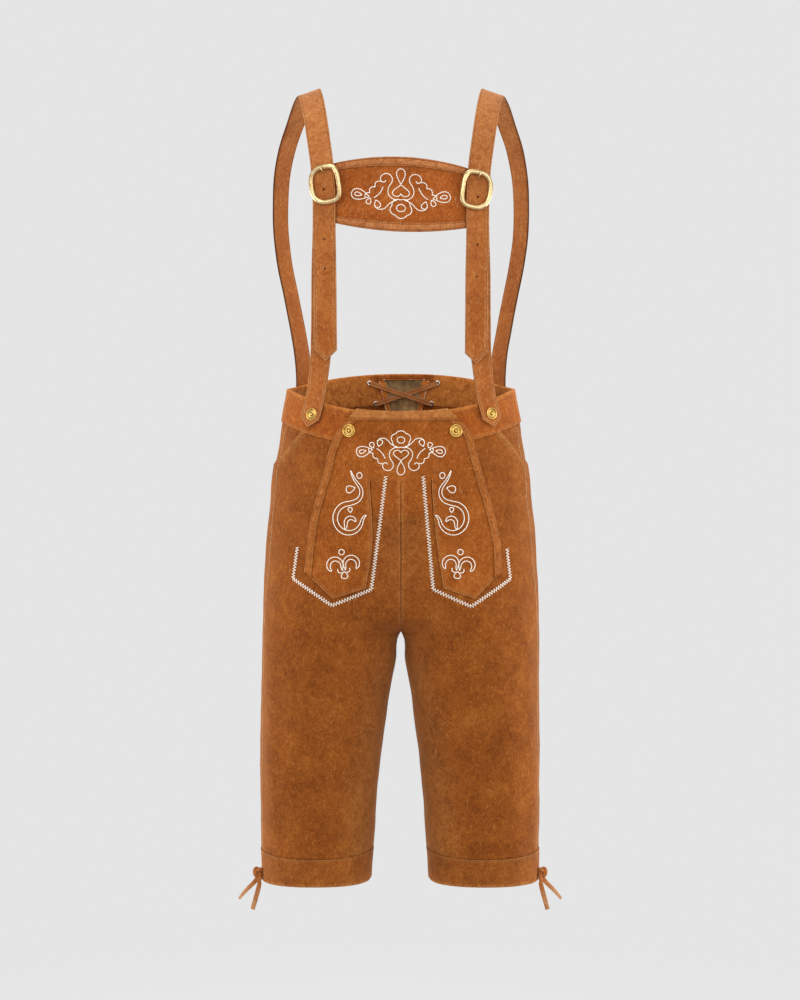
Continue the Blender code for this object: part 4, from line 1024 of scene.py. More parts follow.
def folded_profile(width, roll, fold):
    """Rows of a folded band: distance from its rolled edge, lift, paleness from use and painted light with
    painted shade in its seam, and -1 where it is inside.
    """
    radius = (fold.outside - fold.inside) / 2
    middle = (fold.outside + fold.inside) / 2
    inside = np.linspace(fold.reach, radius, FACING_ROWS)
    turn = fold_turn()
    outside = seam_places(width - radius, roll, STITCHED_EDGE, PANEL_SPACING)
    to_seam = width - radius - outside
    lift = seam_lift(roll, outside) + seam_lift(STITCHED_EDGE, to_seam) + fold.outside
    wear = stronger(seam_wear_and_painted_shade(roll, outside), seam_wear_and_painted_shade(STITCHED_EDGE, to_seam))
    drops = np.concatenate([inside, radius - radius * np.sin(turn), radius + outside])
    lifts = np.concatenate([np.full(FACING_ROWS, fold.inside), middle + radius * np.cos(turn), lift])
    wears_and_painted_light = np.concatenate([np.full(FACING_ROWS, FACING_PAINTED_LIGHT), np.full(len(turn), FOLD_WEAR), wear])
    looks = np.concatenate([np.full(FACING_ROWS, -1.0), np.sign(np.cos(turn) + 0.01), np.ones(len(outside))])
    return drops, lifts, wears_and_painted_light, looks


def band_sheet(side, bases, lifts, wears_and_painted_light, looks, read_row):
    """A band whose rows have a height and a lift, and whose columns are seamed at both ends."""
    rows = [read_row(base) for base in bases]
    angles, to_edge = (np.array(values) for values in zip(*rows))
    base = np.repeat(bases[:, None], angles.shape[1], axis=1)
    dip = seam_lift(JOINED_EDGE, to_edge) * (looks > 0)[:, None]
    wear = stronger(wears_and_painted_light[:, None], SEAM_WEAR_AND_PAINTED_SHADE * seam_wear_and_painted_shade(JOINED_EDGE, to_edge))
    points, outward = surface(side, row_height(base, angles), angles, lifts[:, None] + dip)
    return points, outward * looks[:, None, None], wear


def half_row(side, face):
    """A reader of one row of a waistband, from the middle of the body to the side seam.

    In front the two halves are one strip, so only the back ones have a seam at the middle."""
    first = distances(STITCHED_EDGE) if face == "back" else np.array([0.0])
    count = int(round(WAISTBAND_ROW / PANEL_SPACING))

    def places(length):
        last = length - distances(JOINED_EDGE)[::-1]
        return np.concatenate([first[:-1], np.linspace(first[-1], last[0], count), last[1:]])

    def read(base):
        angles, run, length = angles_at(side, base, inner_angle(base, face), SIDE_SEAM_ANGLE, places)
        return angles, np.minimum(run if face == "back" else np.inf, length - run)
    return read


for side_name, side in SIDES.items():
    for face in ("front", "back"):
        drops, *profile = folded_profile(WAISTBAND_HEIGHT, ROLLED_EDGE, WAIST_FOLD)
        sheet = band_sheet(side, WAIST_HEIGHT - drops, *profile, half_row(side, face))
        rests_on = (f"{face}_panel_{side_name}",)
        add_trim(f"waistband_{face}_{side_name}", *sheet, trim_suede, BAND_HIDE, rests_on)


# %% Hem bands, one strip round each leg
def round_row(side):
    """A reader of one row round the leg, from the inseam by the front and the side to the back."""
    first = distances(JOINED_EDGE)
    count = int(round(HEM_ROW / PANEL_SPACING))

    def places(length):
        return np.concatenate([first[:-1], np.linspace(first[-1], length, count)])

    def read(base):
        front, run, _ = angles_at(side, base, math.pi, SIDE_SEAM_ANGLE, places)
        back, back_run, _ = angles_at(side, base, -math.pi, SIDE_SEAM_ANGLE, places)
        return np.concatenate([front, back[-2::-1]]), np.concatenate([run, back_run[-2::-1]])
    return read


for side_name, side in SIDES.items():
    drops, *profile = folded_profile(HEM_BAND_TOP - HEM_HEIGHT, PLAIN_ROLL, HEM_FOLD)
    sheet = band_sheet(side, HEM_HEIGHT + drops, *profile, round_row(side))
    add_trim(f"hem_band_{side_name}", *sheet, leg_suede, BAND_HIDE, (f"front_panel_{side_name}",))

# %% [markdown]
# The pocket mouths slant from the waistband down to the side seams.  The panel's own edge is
# folded there and stitched twice, so only the mouth stands up; the rest sinks into the panel.

# %% Pocket mouths
POCKET_TOP_ANGLE = math.radians(40.5)
POCKET_TOP_HEIGHT = -0.4555
POCKET_END_ANGLE = math.radians(17.5)
POCKET_END_HEIGHT = -0.4995
POCKET_AROUND = 0.75 / 0.1400
POCKET_DOWN = 0.65
# Distances inward from the open edge; past its second seam the sheet sinks into the panel.
MOUTH_EDGE = (
    Seam(0.0000, 0.0014, -0.5), Seam(0.0005, 0.0019, 1.1), Seam(0.0013, 0.0020, 1.0),
    Seam(0.0022, 0.0013, -0.5), Seam(0.0032, 0.0017, 0.9), Seam(0.0050, 0.0014, 0.5),
    Seam(0.0068, 0.0011, 0.5), Seam(0.0080, 0.0004, -0.6), Seam(0.0092, 0.0007, 0.6),
    Seam(0.0110, 0.0001, 0.1), Seam(0.0124, -0.0006, 0.0),
)
MOUTH_ROWS = 34
MOUTH_ENDS = (-0.02, 1.02)
MOUTH_SINK = 0.0006


def mouth_place(side, share, inward, lift):
    """Points of a pocket mouth: share along it from the waistband, inward from its open edge."""
    angle = POCKET_TOP_ANGLE + (POCKET_END_ANGLE - POCKET_TOP_ANGLE) * share + inward * POCKET_AROUND
    height = POCKET_TOP_HEIGHT + (POCKET_END_HEIGHT - POCKET_TOP_HEIGHT) * share - inward * POCKET_DOWN
    return surface(side, height, angle, lift)


for side_name, side in SIDES.items():
    share = np.linspace(*MOUTH_ENDS, MOUTH_ROWS)[:, None]
    inward = np.repeat(distances(MOUTH_EDGE)[None, :], MOUTH_ROWS, axis=0)
    standing = smooth_step(0.0, 0.06, MOUTH_ENDS[1] - share)
    lift = seam_lift(MOUTH_EDGE, inward) * standing - MOUTH_SINK * (1 - standing)
    sheet = (*mouth_place(side, share, inward, lift), seam_wear_and_painted_shade(MOUTH_EDGE, inward))
    add_trim(f"pocket_edge_{side_name}", *sheet, leg_suede, BAND_HIDE, (f"front_panel_{side_name}",))

# %% [markdown]
# ## The front flap
#
# The flap is one piece that buttons to the waistband.  Below the fork its two lobes lie on the
# panels, and its middle runs down and is lost in the front.  The columns follow its outer and
# inner edges, so the grid lines are parallel to the seams.

# %% Flap outline
FlapEdge = namedtuple("FlapEdge", "height right left")
FLAP_OUTER = (
    FlapEdge(-0.4318, 0.0573, 0.0603),
    FlapEdge(-0.4405, 0.0675, 0.0725),
    FlapEdge(-0.4493, 0.0756, 0.0817),
    FlapEdge(-0.4585, 0.0829, 0.0893),
    FlapEdge(-0.4768, 0.0912, 0.0955),
    FlapEdge(-0.5083, 0.0990, 0.1043),
    FlapEdge(-0.5700, 0.1165, 0.1222),
    FlapEdge(-0.6080, 0.1222, 0.1300),
    FlapEdge(-0.6450, 0.1262, 0.1318),
)
FLAP_INNER = (
    FlapEdge(-0.4318, 0.0400, 0.0400),
    FlapEdge(-0.5214, 0.0402, 0.0398),
    FlapEdge(-0.6080, 0.0375, 0.0470),
    FlapEdge(-0.6650, 0.0462, 0.0560),
)
LOBE_CORNER = -0.6420
LOBE_TIP = -0.6775
LOBE_INNER = -0.6635
LOBE_TIP_SHARE = 0.46
FLAP_TOP = -0.4322
FLAP_FORK = -0.5214
TONGUE_END = -0.6150
FLAP_LIFT_TOP = 0.0026
FLAP_LIFT_LOBE = 0.0010
FLAP_SETTLES = (-0.5600, -0.4900)
# Small upright ripples, most of which hang from the buttoned top edge.
Ripple = namedtuple("Ripple", "x height width length depth")
FLAP_RIPPLES = (
    Ripple(-0.0470, -0.4560, 0.0050, 0.016, 0.0010),
    Ripple(-0.0385, -0.4600, 0.0045, 0.020, -0.0007),
    Ripple(-0.0205, -0.4570, 0.0050, 0.014, 0.0008),
    Ripple(-0.0060, -0.4600, 0.0060, 0.018, -0.0006),
    Ripple(0.0150, -0.4570, 0.0050, 0.015, 0.0009),
    Ripple(0.0270, -0.4640, 0.0060, 0.022, -0.0006),
    Ripple(0.0480, -0.4600, 0.0055, 0.018, 0.0008),
    Ripple(-0.0640, -0.5250, 0.0090, 0.040, 0.0008),
    Ripple(0.0690, -0.5330, 0.0100, 0.045, 0.0008),
    Ripple(-0.0890, -0.6050, 0.0080, 0.026, -0.0006),
    Ripple(0.0980, -0.6150, 0.0090, 0.030, -0.0006),
)


def edge_reader(table, side_name):
    """Reads how far from the middle an edge of the flap is at a height."""
    rows = table[::-1]
    return curve_through([row.height for row in rows], [getattr(row, side_name) for row in rows])


flap_outer = {name: edge_reader(FLAP_OUTER, name) for name in SIDES}
flap_inner = {name: edge_reader(FLAP_INNER, name) for name in SIDES}


def flap_lift(height):
    """The flap lies over the waistband at its top and settles on the panels below it."""
    share = smooth_step(*FLAP_SETTLES, height)
    return FLAP_LIFT_LOBE + (FLAP_LIFT_TOP - FLAP_LIFT_LOBE) * share


def flap_ripples(x, height):
    """The soft bumps and hollows of the flap."""
    relief = np.zeros(np.broadcast(x, height).shape)
    for ripple in FLAP_RIPPLES:
        relief += ripple.depth * np.exp(
            -(((x - ripple.x) / ripple.width) ** 2) - ((height - ripple.height) / ripple.length) ** 2)
    return relief


def flap_top(x, height):
    """How far the flap's face stands off the panel."""
    return flap_lift(height) + BAND + flap_ripples(x, height)


def lobe_bottom(share):
    """The height of a lobe's lower edge at a share of its width."""
    return np.interp(share, (0.0, LOBE_TIP_SHARE, 1.0), (LOBE_CORNER, LOBE_TIP, LOBE_INNER))


fork_width = sum(float(read(FLAP_FORK)) for read in flap_outer.values())
print("flap, mm wide at the fork:", round(1000 * fork_width))

# %% [markdown]
# The flap's rows end in the V of each lobe, so the last rows keep their distance from that edge.
# Its middle is cut free from the lobes below the fork and sinks into the panels, where the
# centre seam begins.

# %% The flap as one sheet
LOBE_COLUMNS = (11, 13)
LOBE_ROWS = 34
UPPER_ROWS = 28
# The height at which a lobe's width is taken for its columns' distances.
LOBE_NOMINAL = -0.60
# Columns keep their distance from an edge up to the second value, and their share past the first.
KEEP_OUTER = (0.016, 0.0104)
KEEP_INNER = (0.016, 0.0066)
TONGUE_GAP = 0.0008
TONGUE_COLUMNS = 11
TONGUE_DEPTH = -0.0012
TONGUE_WEAR_AND_PAINTED_SHADE = 0.7
FLAP_ROUNDING = 0.0003
# The tongue sinks, and its seam begins, over this stretch of height.
TONGUE_FADE = 0.0120
TONGUE_SEAM_START = -0.5170
SLOPE_STEP = 0.0020
HIDDEN_EDGE = (Seam(0.0000, -0.0002, 0.3), Seam(0.0010, 0.0, 0.1), Seam(0.0104, 0.0, 0.0))


def edge_slant(side_name, height):
    """How much longer the flap's outer edge is than its height, where it leans."""
    read = flap_outer[side_name]
    slope = (read(height + SLOPE_STEP) - read(height - SLOPE_STEP)) / (2 * SLOPE_STEP)
    return np.sqrt(1 + slope ** 2)


def lobe_width(side_name):
    """A lobe's width at the nominal height."""
    return float(flap_outer[side_name](LOBE_NOMINAL) - flap_inner[side_name](LOBE_NOMINAL))


def lobe_shares(nominal):
    """The columns of a lobe: true distances at its edges, shares of its width between."""
    first = distances(HIDDEN_EDGE) / nominal
    last = 1 - distances(STITCHED_EDGE)[::-1] / nominal
    outer_part = np.linspace(first[-1], LOBE_TIP_SHARE, LOBE_COLUMNS[0])[:-1]
    inner_part = np.linspace(LOBE_TIP_SHARE, last[0], LOBE_COLUMNS[1])
    return np.concatenate([first[:-1], outer_part, inner_part, last[1:]])


def lobe_grid(side_name):
    """Heights and x of one half of the flap, and each point's distance from its stitched edge."""
    nominal = lobe_width("left")
    shares = lobe_shares(nominal)
    outer_slope = (LOBE_TIP - LOBE_CORNER) / (LOBE_TIP_SHARE * nominal)
    inner_slope = (LOBE_INNER - LOBE_TIP) / ((1 - LOBE_TIP_SHARE) * nominal)
    slant = np.sqrt(1 + np.where(shares < LOBE_TIP_SHARE, outer_slope, inner_slope) ** 2)
    bottom = lobe_bottom(shares)
    edge = distances(STITCHED_EDGE)[::-1]
    upper = np.linspace(FLAP_TOP, FLAP_FORK, UPPER_ROWS)[:, None] + 0 * shares
    down = np.linspace(0.0, 1.0, LOBE_ROWS)[1:, None]
    lobes = FLAP_FORK + (bottom + edge[0] * slant - FLAP_FORK) * down
    ends = bottom + edge[1:, None] * slant
    height = np.concatenate([upper, lobes, ends])
    outer = flap_outer[side_name](height)
    inner = flap_inner[side_name](height)
    width = outer - inner
    # Near an edge a column keeps its distance whatever the width; between, it keeps its share.
    near_outer = smooth_step(*KEEP_OUTER, shares * nominal)
    near_inner = smooth_step(*KEEP_INNER, (1 - shares) * nominal)
    from_outer = shares * width
    from_outer = from_outer + near_outer * (shares * nominal * edge_slant(side_name, height) - from_outer)
    from_outer = from_outer + near_inner * (width - (1 - shares) * nominal - from_outer)
    to_bottom = (height - bottom) / slant
    to_inner = np.where(height > FLAP_FORK, 1.0, (1 - shares) * nominal)
    return outer - from_outer, height, np.minimum(to_bottom, to_inner)


def tongue_grid(rows, side_name):
    """The middle of the flap from one inner edge to the centre."""
    seam = distances(JOINED_EDGE)[::-1]
    upper = np.linspace(FLAP_TOP, FLAP_FORK, UPPER_ROWS)
    lower = np.linspace(FLAP_FORK, TONGUE_END, rows - UPPER_ROWS + 1)[1:]
    height = np.concatenate([upper, lower])[:, None]
    edge = flap_inner[side_name](height) - TONGUE_GAP
    share = np.linspace(0.0, 1.0, TONGUE_COLUMNS)
    x = edge + (seam[0] - edge) * share
    x = np.concatenate([x, np.repeat(seam[None, 1:], rows, axis=0)], axis=1)
    return x, np.repeat(height, x.shape[1], axis=1)


def middle_lift(x, height):
    """How far the flap's middle stands off the panels, into which it sinks below the fork."""
    rest = flap_top(x, height)
    sunk = smooth_step(FLAP_FORK + TONGUE_FADE, TONGUE_END + TONGUE_FADE, height)
    return rest + (TONGUE_DEPTH - rest) * sunk


def flap_half(side_name):
    """One half of the flap from its outer edge to the centre: points, the way they look, and how pale each
    point is from use, with shade painted into its seams.
    """
    side = SIDES[side_name]
    x, height, to_edge = lobe_grid(side_name)
    lift = flap_top(side * x, height) + seam_lift(STITCHED_EDGE, to_edge)
    points, outward = front_surface(side * x, height, lift)
    lobe = (points, outward, seam_wear_and_painted_shade(STITCHED_EDGE, to_edge))
    x, height = tongue_grid(len(x), side_name)
    seamed = smooth_step(TONGUE_SEAM_START, TONGUE_SEAM_START - TONGUE_FADE, height)
    lift = middle_lift(side * x, height) + seamed * seam_lift(JOINED_EDGE, x)
    points, outward = front_surface(side * np.maximum(x, 1e-6), height, lift)
    tongue = (points, outward, TONGUE_WEAR_AND_PAINTED_SHADE * seamed * seam_wear_and_painted_shade(JOINED_EDGE, x))
    return [np.concatenate(parts, axis=1) for parts in zip(lobe, tongue)]


right_half, left_half = flap_half("right"), flap_half("left")
points, outward, wear = (
    np.concatenate([right, left[:, -2::-1]], axis=1) for right, left in zip(right_half, left_half))
lobe_count = len(lobe_shares(lobe_width("left")))
keep = np.ones((points.shape[0] - 1, points.shape[1] - 1), dtype=bool)
keep[UPPER_ROWS - 1:, lobe_count - 1] = False
keep[UPPER_ROWS - 1:, -lobe_count] = False
mesh = sheet_mesh("flap", points, outward, flap_suede, wear, keep)
piece = add_piece("front_flap_sewn", mesh, "suede_body", "front_flap")
thicken(piece, BAND, FLAP_ROUNDING)
declare_sheet(piece, points, rests_on=("front_panel_left", "front_panel_right"), keep=keep)

# %% [markdown]
# The flap's top edge is bound and its two sides carry a strip, both stitched along both of
# their edges.  The strips stand a little off the flap, and the step casts a fine dark line.

# %% Binding and side strips of the flap
TRIM = 0.0011
TRIM_LIFT = LAY_GAP + TRIM
BINDING_END = -0.4440
BINDING_RISE = -0.0016
BINDING_ROLL = 0.0012
BINDING_COLUMNS = 46
BINDING_SPACING = 0.0022
# The binding is paler over its face and roll: partly worn, partly painted light that lifts the shade along
# the flap's top edge.
BINDING_WEAR_AND_PAINTED_LIGHT = 0.7
ROLL_STEPS = 7
SEAM_GAP = 0.0004
STRIP_ROWS = 72
STRIP_EDGES = (
    Seam(0.0000, -0.00050, -1.0), Seam(0.0005, -0.00010, 0.5), Seam(0.0012, 0.00012, 0.3),
    Seam(0.0021, -0.00040, -0.4), Seam(0.0030, 0.00012, 0.3), Seam(0.0050, 0.00018, 0.2),
    Seam(0.0070, 0.00012, 0.3), Seam(0.0079, -0.00040, -0.4), Seam(0.0088, 0.00008, 0.4),
    Seam(0.0095, -0.00010, 0.6), Seam(0.0100, -0.00050, -1.0),
)
BINDING_EDGE = STRIP_EDGES[:5]
BINDING_TOP = (Seam(0.0, 0.0, 0.7), Seam(0.0012, 0.0, 0.4))


def waist_line(x, sign):
    """The height of the waist's top edge in front (1) or behind (-1), x away from the middle."""
    return row_height(WAIST_HEIGHT, sign * angle_at(WAIST_HEIGHT, x))


def waist_rise(x):
    """How far the flap's top edge is raised to cover the waistband's, which climbs to the sides."""
    return BINDING_RISE + waist_line(x, 1) - waist_line(0.0, 1)


def binding_sheet():
    """The binding rolls over the flap's top edge: rows from the back of the edge to the seam."""
    radius = (BAND + TRIM_LIFT) / 2
    turn = np.linspace(math.pi, 0.0, ROLL_STEPS)[:-1]
    length = FLAP_TOP - BINDING_END
    outside = seam_places(length, BINDING_TOP, BINDING_EDGE, BINDING_SPACING)
    to_seam = length - outside
    rolled = FLAP_TOP + BINDING_ROLL + radius * np.sin(turn) - BINDING_ROLL * (1 - np.sin(turn))
    heights = np.concatenate([rolled, FLAP_TOP - outside])
    lifts = np.concatenate([radius + radius * np.cos(turn), 2 * radius + seam_lift(BINDING_EDGE, to_seam)])
    on_face = to_seam > BINDING_EDGE[-1].distance
    edge_wear_and_painted_light = np.where(on_face, BINDING_WEAR_AND_PAINTED_LIGHT, seam_wear_and_painted_shade(BINDING_EDGE, to_seam))
    wears_and_painted_light = np.concatenate([np.full(len(turn), BINDING_WEAR_AND_PAINTED_LIGHT), edge_wear_and_painted_light])
    looks = np.where(np.concatenate([np.cos(turn), np.ones(len(outside))]) < -0.05, -1.0, 1.0)
    left, right = (flap_outer[name](np.minimum(heights, FLAP_TOP))[:, None] for name in SIDES)
    x = (left + right) * np.linspace(0.0, 1.0, BINDING_COLUMNS) - right
    height = np.repeat(heights[:, None], BINDING_COLUMNS, axis=1)
    height = height + waist_rise(x) * smooth_step(BINDING_END, FLAP_TOP - 0.0010, height)
    points, outward = front_surface(x, height, flap_lift(height) + flap_ripples(x, height) + lifts[:, None])
    return points, outward * looks[:, None, None], np.repeat(wears_and_painted_light[:, None], BINDING_COLUMNS, axis=1)


add_trim("flap_binding", *binding_sheet(), flap_suede, TRIM, ("front_flap_sewn",))
for side_name, side in SIDES.items():
    distance = distances(STRIP_EDGES)
    lowest = lobe_bottom(distance / lobe_width(side_name))
    start = BINDING_END - SEAM_GAP
    height = start + (lowest - start) * np.linspace(0.0, 1.0, STRIP_ROWS)[:, None]
    x = side * (flap_outer[side_name](height) - distance * edge_slant(side_name, height))
    sheet = front_surface(x, height, flap_top(x, height) + TRIM_LIFT + seam_lift(STRIP_EDGES, distance))
    wear = np.repeat(seam_wear_and_painted_shade(STRIP_EDGES, distance)[None, :], STRIP_ROWS, axis=0)
    add_trim(f"flap_strip_{side_name}", *sheet, wear, flap_suede, TRIM, ("front_flap_sewn",))

# %% [markdown]
# ## Braces
#
# A brace is one long strap.  It runs from a pointed tail in front, over the shoulder and down to
# the back of the waistband.  A shorter strap comes up behind it from the waist button.  Both are
# 2.5 mm hide with stitched edges, and the table gives the middle of the inner face and the way
# the outer face looks, on the wearer's left; the right one is its mirror image.

# %% Strap routes
STRAP_THICKNESS = 0.0025
STRAP_WIDTH = 0.0314
LOWER_STRAP_WIDTH = 0.0298
STRAP_POINT = 0.0148
LOWER_STRAP_POINT = 0.0125
# How far each brace's tail hangs below the start of the route.
TAIL_REACH = {"left": 0.0048, "right": 0.0008}
POINT_FADE = 0.0450
# The first rows of the shoulder strap's table are its straight front.
STRAP_FRONT_ROWS = 7
SEAT_LIFT = BAND + 2 * LAY_GAP + 0.0003
StrapPoint = namedtuple("StrapPoint", "x y z face_x face_y face_z")
SHOULDER_STRAP = (
    StrapPoint(0.0978, -0.1034, -0.3500, 0.30, -0.95, 0.00),
    StrapPoint(0.0981, -0.1102, -0.3000, 0.29, -0.96, 0.00),
    StrapPoint(0.0985, -0.1142, -0.2450, 0.29, -0.96, 0.00),
    StrapPoint(0.0993, -0.1155, -0.2000, 0.29, -0.96, 0.00),
    StrapPoint(0.1000, -0.1156, -0.1400, 0.29, -0.96, 0.02),
    StrapPoint(0.1023, -0.1138, -0.1100, 0.29, -0.94, 0.12),
    StrapPoint(0.1067, -0.1045, -0.0790, 0.30, -0.86, 0.40),
    StrapPoint(0.1125, -0.0820, -0.0430, 0.32, -0.66, 0.68),
    StrapPoint(0.1185, -0.0480, -0.0165, 0.33, -0.36, 0.87),
    StrapPoint(0.1238, -0.0080, -0.0060, 0.34, 0.00, 0.94),
    StrapPoint(0.1325, 0.0290, -0.0155, 0.42, 0.36, 0.83),
    StrapPoint(0.1428, 0.0560, -0.0390, 0.54, 0.56, 0.62),
    StrapPoint(0.1560, 0.0790, -0.0740, 0.66, 0.64, 0.38),
    StrapPoint(0.1630, 0.0910, -0.1080, 0.74, 0.65, 0.18),
    StrapPoint(0.1655, 0.0990, -0.1450, 0.77, 0.63, 0.05),
    StrapPoint(0.1648, 0.1030, -0.1850, 0.78, 0.62, 0.00),
    StrapPoint(0.1600, 0.1030, -0.2250, 0.78, 0.62, 0.00),
    StrapPoint(0.1510, 0.0985, -0.2700, 0.78, 0.62, -0.04),
    StrapPoint(0.1410, 0.0895, -0.3200, 0.77, 0.64, -0.06),
    StrapPoint(0.1335, 0.0775, -0.3650, 0.75, 0.66, -0.04),
    StrapPoint(0.1315, 0.0710, -0.3950, 0.72, 0.69, -0.05),
)
STRAP_SEAT = ((0.1300, -0.4180), (0.1300, -0.4370))
LOWER_STRAP = (
    StrapPoint(0.1080, -0.0886, -0.3900, 0.50, -0.86, 0.00),
    StrapPoint(0.1052, -0.0936, -0.3660, 0.42, -0.90, 0.00),
    StrapPoint(0.1028, -0.1037, -0.3000, 0.33, -0.94, 0.00),
    StrapPoint(0.1020, -0.1090, -0.2450, 0.30, -0.95, 0.00),
    StrapPoint(0.1005, -0.1113, -0.2000, 0.29, -0.96, 0.00),
    StrapPoint(0.1000, -0.1118, -0.1250, 0.29, -0.96, 0.00),
)
LOWER_STRAP_SEAT = ((0.1158, -0.4415), (0.1136, -0.4300), (0.1112, -0.4190))
# The button's shank holds the strap's point off the waistband.
LOWER_STRAP_RISE = (0.0032, 0.0012, 0.0004)
WAY_STEP = 0.0040
ROUTE_REACH = 0.0200


def seated(places, read_surface, stand_off):
    """Rows of a route where it lies on the waistband."""
    x, height = np.array(places).T
    points, normals = read_surface(x, height, SEAT_LIFT + np.array(stand_off))
    return np.concatenate([points, normals], axis=1)


strap_tables = {
    "shoulder_strap": np.concatenate([SHOULDER_STRAP, seated(STRAP_SEAT, back_surface, 0.0)]),
    "lower_strap": np.concatenate([seated(LOWER_STRAP_SEAT, front_surface, LOWER_STRAP_RISE), LOWER_STRAP]),
}


def strap_reader(table):
    """Reads a strap at a distance along it and one across it; the route runs on past its start."""
    knots = run_along(table[:, :3])
    columns = [curve_through(knots, column) for column in table.T]
    first_way = unit(table[1, :3] - table[0, :3])

    def middle(along):
        along = np.asarray(along, dtype=float)
        place = np.stack([read(along) for read in columns[:3]], axis=-1)
        return place + np.minimum(along, 0.0)[..., None] * first_way

    def read(along, across, lift):
        along, across, lift = np.broadcast_arrays(along, across, lift)
        way = unit(middle(along + WAY_STEP) - middle(np.maximum(along - WAY_STEP, -ROUTE_REACH)))
        face = np.stack([read_face(along) for read_face in columns[3:]], axis=-1)
        side_way = unit(np.cross(way, face))
        normal = np.cross(side_way, way)
        place = middle(along) + side_way * across[..., None] + normal * lift[..., None]
        return place, normal

    return read, knots[-1]


read_straps = {name: strap_reader(table) for name, table in strap_tables.items()}
print("strap lengths, mm:", {name: round(1000 * length) for name, (_, length) in read_straps.items()})

# %% [markdown]
# A strap's skin is its outer face.  Its rows are sheared forward at a pointed end, the edge
# stitching dips along both sides and round the point, and the holes are punched clean through:
# a block of quads is taken out and the gap is filled by a round of sixteen points.

# %% Strap sheets with punched holes
STRAP_SPACING = 0.0026
STRAP_ROUNDING = 0.00035
HOLE_BLOCK = 2
HOLE_POINTS = 16
HOLE_WEAR = 0.1
# Where the braces bend over the shoulders they are rubbed: how far along, how far round it, how much.
SHOULDER_RUB = (0.37, 0.35, 0.30)
# The faint swell of a worn strap: waves to a metre in radians, and heights.
STRAP_SWELL = ((41, 1, 0.000125), (97, 2, 0.0001))
# The heights of the holes and their radii: the small ones are only pricked.
Hole = namedtuple("Hole", "height radius")
HOLES = {
    "left": (Hole(-0.2560, 0.0014), Hole(-0.2148, 0.0016), Hole(-0.1810, 0.0008), Hole(-0.1529, 0.0017)),
    "right": (Hole(-0.2456, 0.0014), Hole(-0.2077, 0.0016), Hole(-0.1763, 0.0008), Hole(-0.1430, 0.0017)),
}
Strap = namedtuple("Strap", "name side width point reach")


def strap_slant(strap):
    """How much longer the edge of a strap's point is than half its width."""
    return math.hypot(strap.point, strap.width / 2) / (strap.width / 2)


def strap_shift(strap, along, across):
    """How far forward a row is sheared at the pointed end, the most in the middle."""
    return strap.point * (1 - np.abs(across) / (strap.width / 2)) * smooth_step(POINT_FADE, 0.0, along)


def read_strap(strap, along, across, lift):
    """Points on one strap and the way they look; the tables are the left straps, mirrored for the right."""
    read, _ = read_straps[strap.name]
    points, looks = read(along, across, lift)
    mirror = np.array((strap.side, 1, 1))
    return points * mirror, looks * mirror


def strap_columns(width):
    """The places of a strap's columns across it, with its seams along both edges."""
    edge = distances(STITCHED_EDGE)
    half = width / 2
    count = 2 * max(2, int(round((half - edge[-1]) / STRAP_SPACING))) + 1
    inner = np.linspace(-half + edge[-1], half - edge[-1], count)
    return np.concatenate([-half + edge[:-1], inner, half - edge[-2::-1]])


def strap_rows(strap, holes):
    """The distances of a strap's rows from its start, with a row at each hole, and these rows' numbers."""
    edge = distances(STITCHED_EDGE)
    total = read_straps[strap.name][1] + strap.reach
    start = edge * strap_slant(strap)
    rows = list(start[:-1])
    hole_rows = []
    stops = [start[-1], *holes, total - edge[-1]]
    for near, far in zip(stops, stops[1:]):
        if near in holes:
            hole_rows.append(len(rows))
        rows.extend(np.linspace(near, far, max(3, int(round((far - near) / STRAP_SPACING)) + 1))[:-1])
    return np.array(rows + list(total - edge[::-1])), total, hole_rows


def block_edge():
    """The sixteen points round a block of four by four quads, in the order of growing angle."""
    size = HOLE_BLOCK
    steps = [(size, place) for place in range(0, size + 1)]
    steps += [(place, size) for place in range(size - 1, -size - 1, -1)]
    steps += [(-size, place) for place in range(size - 1, -size - 1, -1)]
    steps += [(place, -size) for place in range(-size + 1, size + 1)]
    steps += [(size, place) for place in range(-size + 1, 0)]
    return steps


def hole_filler(rims, squares):
    """Fills each block taken out round a hole with quads that lead to the hole's round edge."""
    def fill(flat, places, chosen):
        more_faces, more_places = [], []
        turned = chosen[0][3] < chosen[0][0]
        for number, square in enumerate(squares):
            start = len(flat) + number * HOLE_POINTS
            more_places.extend(places[corner] for corner in square)
            for index in range(HOLE_POINTS):
                after = (index + 1) % HOLE_POINTS
                face = [square[index], square[after], start + after, start + index]
                more_faces.append(face[::-1] if turned else face)
        return np.concatenate(rims), more_faces, np.array(more_places), np.full(len(more_places), HOLE_WEAR)
    return fill


